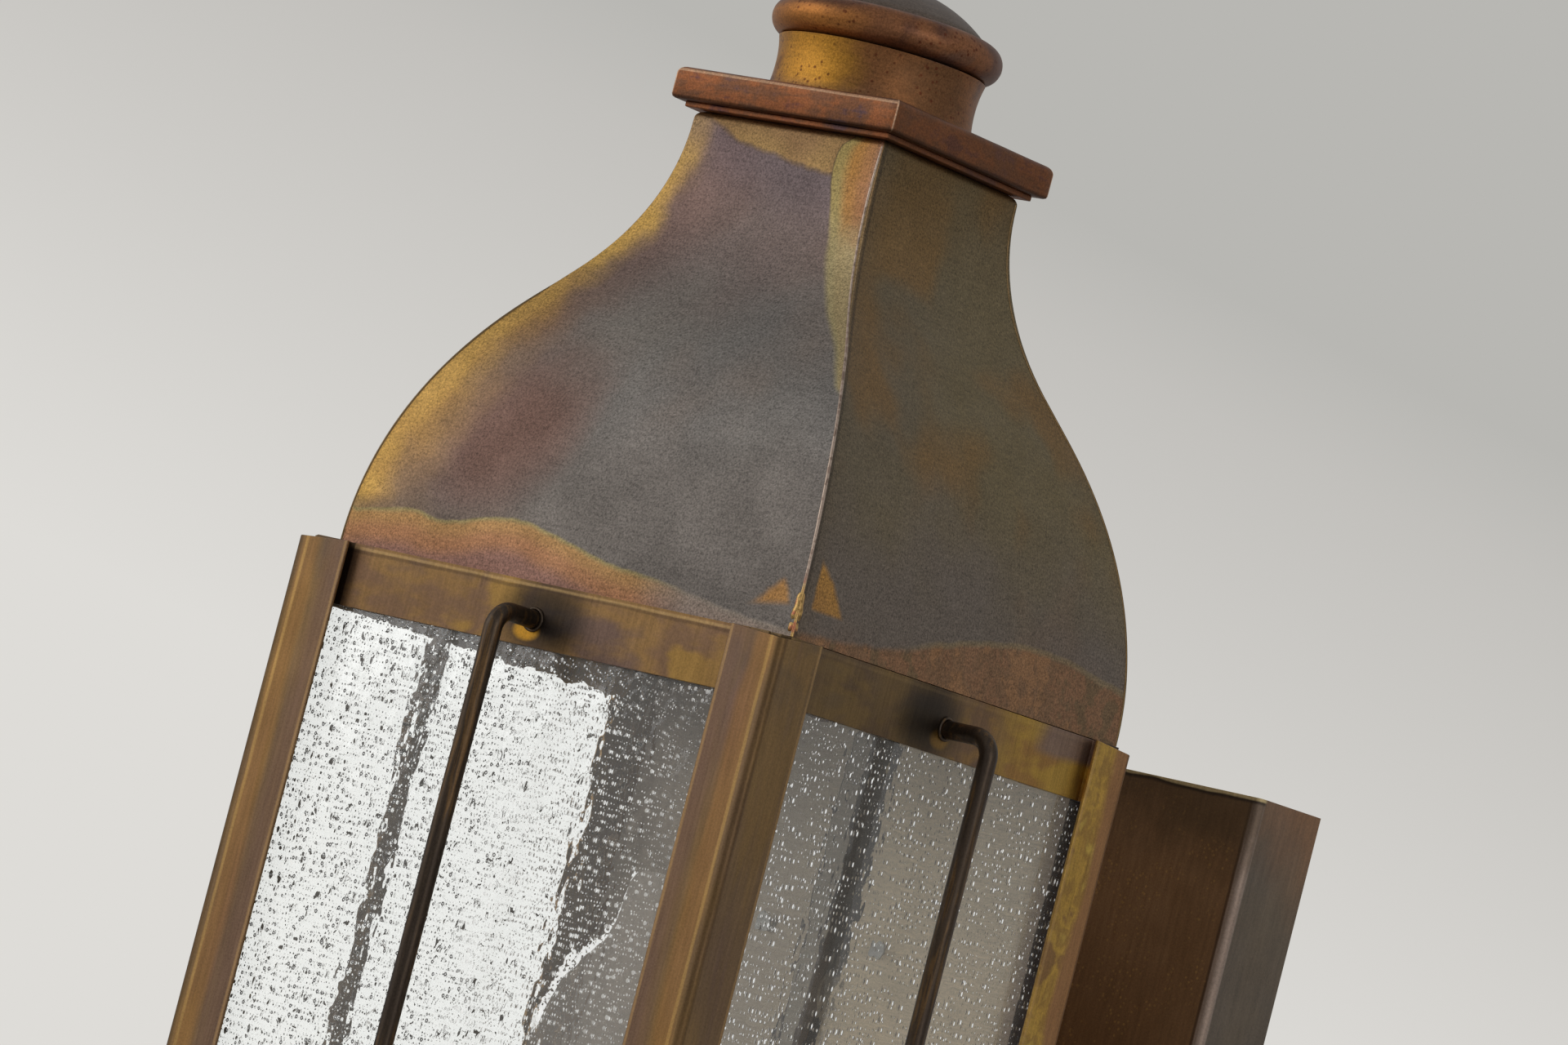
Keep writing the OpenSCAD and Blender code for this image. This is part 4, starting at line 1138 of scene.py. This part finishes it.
class LANTERN_OT_plain_nodes(LanternOperator, bpy.types.Operator):
    """Gives the fittings that keep their solids a finish"""
    bl_idname = "lantern.plain_nodes"
    bl_label = "Fittings"

    def execute(self, context):
        for finish, nodes in (
                ("steel", ("strap_studs", "arm_front_screws", "arm_rear_screws", "roof_bar", "bar_screws", "roof_stem",
                           "stem_nuts", "heat_shield", "cluster_nut", "cluster_nipple")),
                ("panel", ("back_panel",)), ("channel", ("wire_channel",)), ("black", ("lamp_sockets",)),
                ("rubber", ("wire_grommet",)), ("green", ("ground_screw",)),
                ("rail", ("floor_plate", "glass_clips", "cluster_cup", "cluster_plate"))):
            for node in nodes:
                coat(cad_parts[node].data, finish_of(finish))
        return {"FINISHED"}


class LANTERN_OT_stage(LanternOperator, bpy.types.Operator):
    """Sets up the floor, the soft lamps, the surroundings and the camera"""
    bl_idname = "lantern.stage"
    bl_label = "Stage"

    def execute(self, context):
        scene, stage = context.scene, context.scene.lantern_stage

        def add(name, data):
            thing = bpy.data.objects.new(name, data)
            scene.collection.objects.link(thing)
            return thing

        # the camera looks up a little and is rolled, as the photo is
        yaw, pitch, roll = math.radians(37.21), math.radians(4.08), math.radians(14.52)
        ahead = Vector((-math.sin(yaw) * math.cos(pitch), math.cos(yaw) * math.cos(pitch), math.sin(pitch)))
        right = Vector((math.cos(yaw), math.sin(yaw), 0))
        up = right.cross(ahead)
        across = right * math.cos(roll) + up * math.sin(roll)
        upward = up * math.cos(roll) - right * math.sin(roll)
        camera = add("camera", bpy.data.cameras.new("camera"))
        camera.data.sensor_width, camera.data.lens = 36.0, stage.lens
        camera.data.clip_start, camera.data.clip_end = 0.05, 200.0
        place = (1.49944, BODY_Y - 1.95655, ROOF_FOOT.z - 0.131)
        camera.matrix_world = Matrix.Translation(place) @ Matrix((across, upward, -ahead)).transposed().to_4x4()
        scene.camera = camera
        scene.view_settings.view_transform = "Standard"

        # what the camera sees of the floor is paler than what lights the lantern
        nothing_selected()
        bpy.ops.mesh.primitive_circle_add(vertices=96, radius=9.0, fill_type="NGON", location=(0, 0, -1.3))
        floor = context.object
        floor.name = "floor"
        finish = Finish("pale_floor")
        plain = finish.surface(
            Roughness=0.9, Base_Color=mix(finish.cloud(0.8, 1.0), (0.62, 0.61, 0.59), (0.60, 0.59, 0.57)))
        glow = finish.node("Emission", {}, {"Color": (0.74, 0.73, 0.71)})
        coat(floor.data, finish.done(blend(finish.seen_by("Camera", "Transmission") * 0.65, plain, glow)))

        for name, at, size, power in (("key_lamp", (-2.4, -2.3, 1.3), 2.6, stage.key),
                                      ("fill_lamp", (2.6, -1.2, 0.7), 1.6, stage.fill)):
            lamp = bpy.data.lights.new(name, "AREA")
            lamp.shape, lamp.size, lamp.energy = "DISK", size, power
            holder = add(name, lamp)
            holder.location = at
            holder.rotation_mode = "QUATERNION"
            holder.rotation_quaternion = (Vector((0, BODY_Y, 0.10)) - Vector(at)).to_track_quat("-Z", "Y")

        # the backdrop darkens up and to the right of the picture
        scene.world = bpy.data.worlds.new("surroundings")
        sky = Network(scene.world)

        def along(direction, start, end, **settings):
            """Inputs of a map that rises from the start to the end along a direction."""
            way = sky.node("TexCoord", output="Generated")
            share = sky.node("VectorMath", {"operation": "DOT_PRODUCT"}, {0: way, 1: direction}, "Value")
            return {"Value": share, "From Min": start, "From Max": end, **settings}

        def light(colour, strength=1.0):
            return sky.node("Background", {}, {"Color": colour, "Strength": strength})

        slope = sky.node("MapRange", {}, along(across * 0.448 + upward * 0.894, -0.048, 0.056))
        backdrop = ramp(slope, (0.0, 222, 220, 216), (0.18, 217, 215, 211), (0.50, 206, 204, 200),
                        (0.84, 194, 192, 188), (1.0, 184, 183, 179), curve="LINEAR")
        # what the panes show behind the lantern: white at the back left, dim elsewhere
        bright = sky.node("MapRange", {"interpolation_type": "SMOOTHSTEP"},
                          along((-0.6, 0.8, 0.0), 0.72, 0.90, **{"To Min": 0.25, "To Max": 1.12}))
        glassy = blend(sky.seen_by("Transmission"), light((0.98, 0.99, 1.0), stage.sky),
                       light((0.97, 0.98, 0.965), bright))
        sky.node("OutputWorld", {}, {"Surface": blend(sky.seen_by("Camera"), glassy, light(backdrop))})
        return {"FINISHED"}


OPERATORS = (
    LANTERN_OT_roof_sheets, LANTERN_OT_hip_seams, LANTERN_OT_cap_plate, LANTERN_OT_chimney, LANTERN_OT_frame,
    LANTERN_OT_guard_rods, LANTERN_OT_panes, LANTERN_OT_back_plate, LANTERN_OT_candles, LANTERN_OT_plain_nodes,
    LANTERN_OT_stage,
)


class LANTERN_PT_panel(bpy.types.Panel):
    bl_idname = "LANTERN_PT_panel"
    bl_label = "Wall Lantern"
    bl_space_type = "VIEW_3D"
    bl_region_type = "UI"
    bl_category = "Lantern"

    def draw(self, context):
        for name in SETTINGS:
            box = self.layout.box()
            group = getattr(context.scene, name)
            for key in group.__annotations__:
                box.prop(group, key)
        for operator in OPERATORS:
            self.layout.operator(operator.bl_idname)


CLASSES = (*SETTINGS.values(), *OPERATORS, LANTERN_PT_panel)


def register():
    for item in CLASSES:
        bpy.utils.register_class(item)
    for name, group in SETTINGS.items():
        setattr(bpy.types.Scene, name, PointerProperty(type=group))


def unregister():
    for name in SETTINGS:
        delattr(bpy.types.Scene, name)
    for item in reversed(CLASSES):
        bpy.utils.unregister_class(item)


def build_lantern():
    register()
    for operator in OPERATORS:
        getattr(bpy.ops.lantern, operator.bl_idname.removeprefix("lantern."))()


if __name__ == "__main__":
    build_lantern()
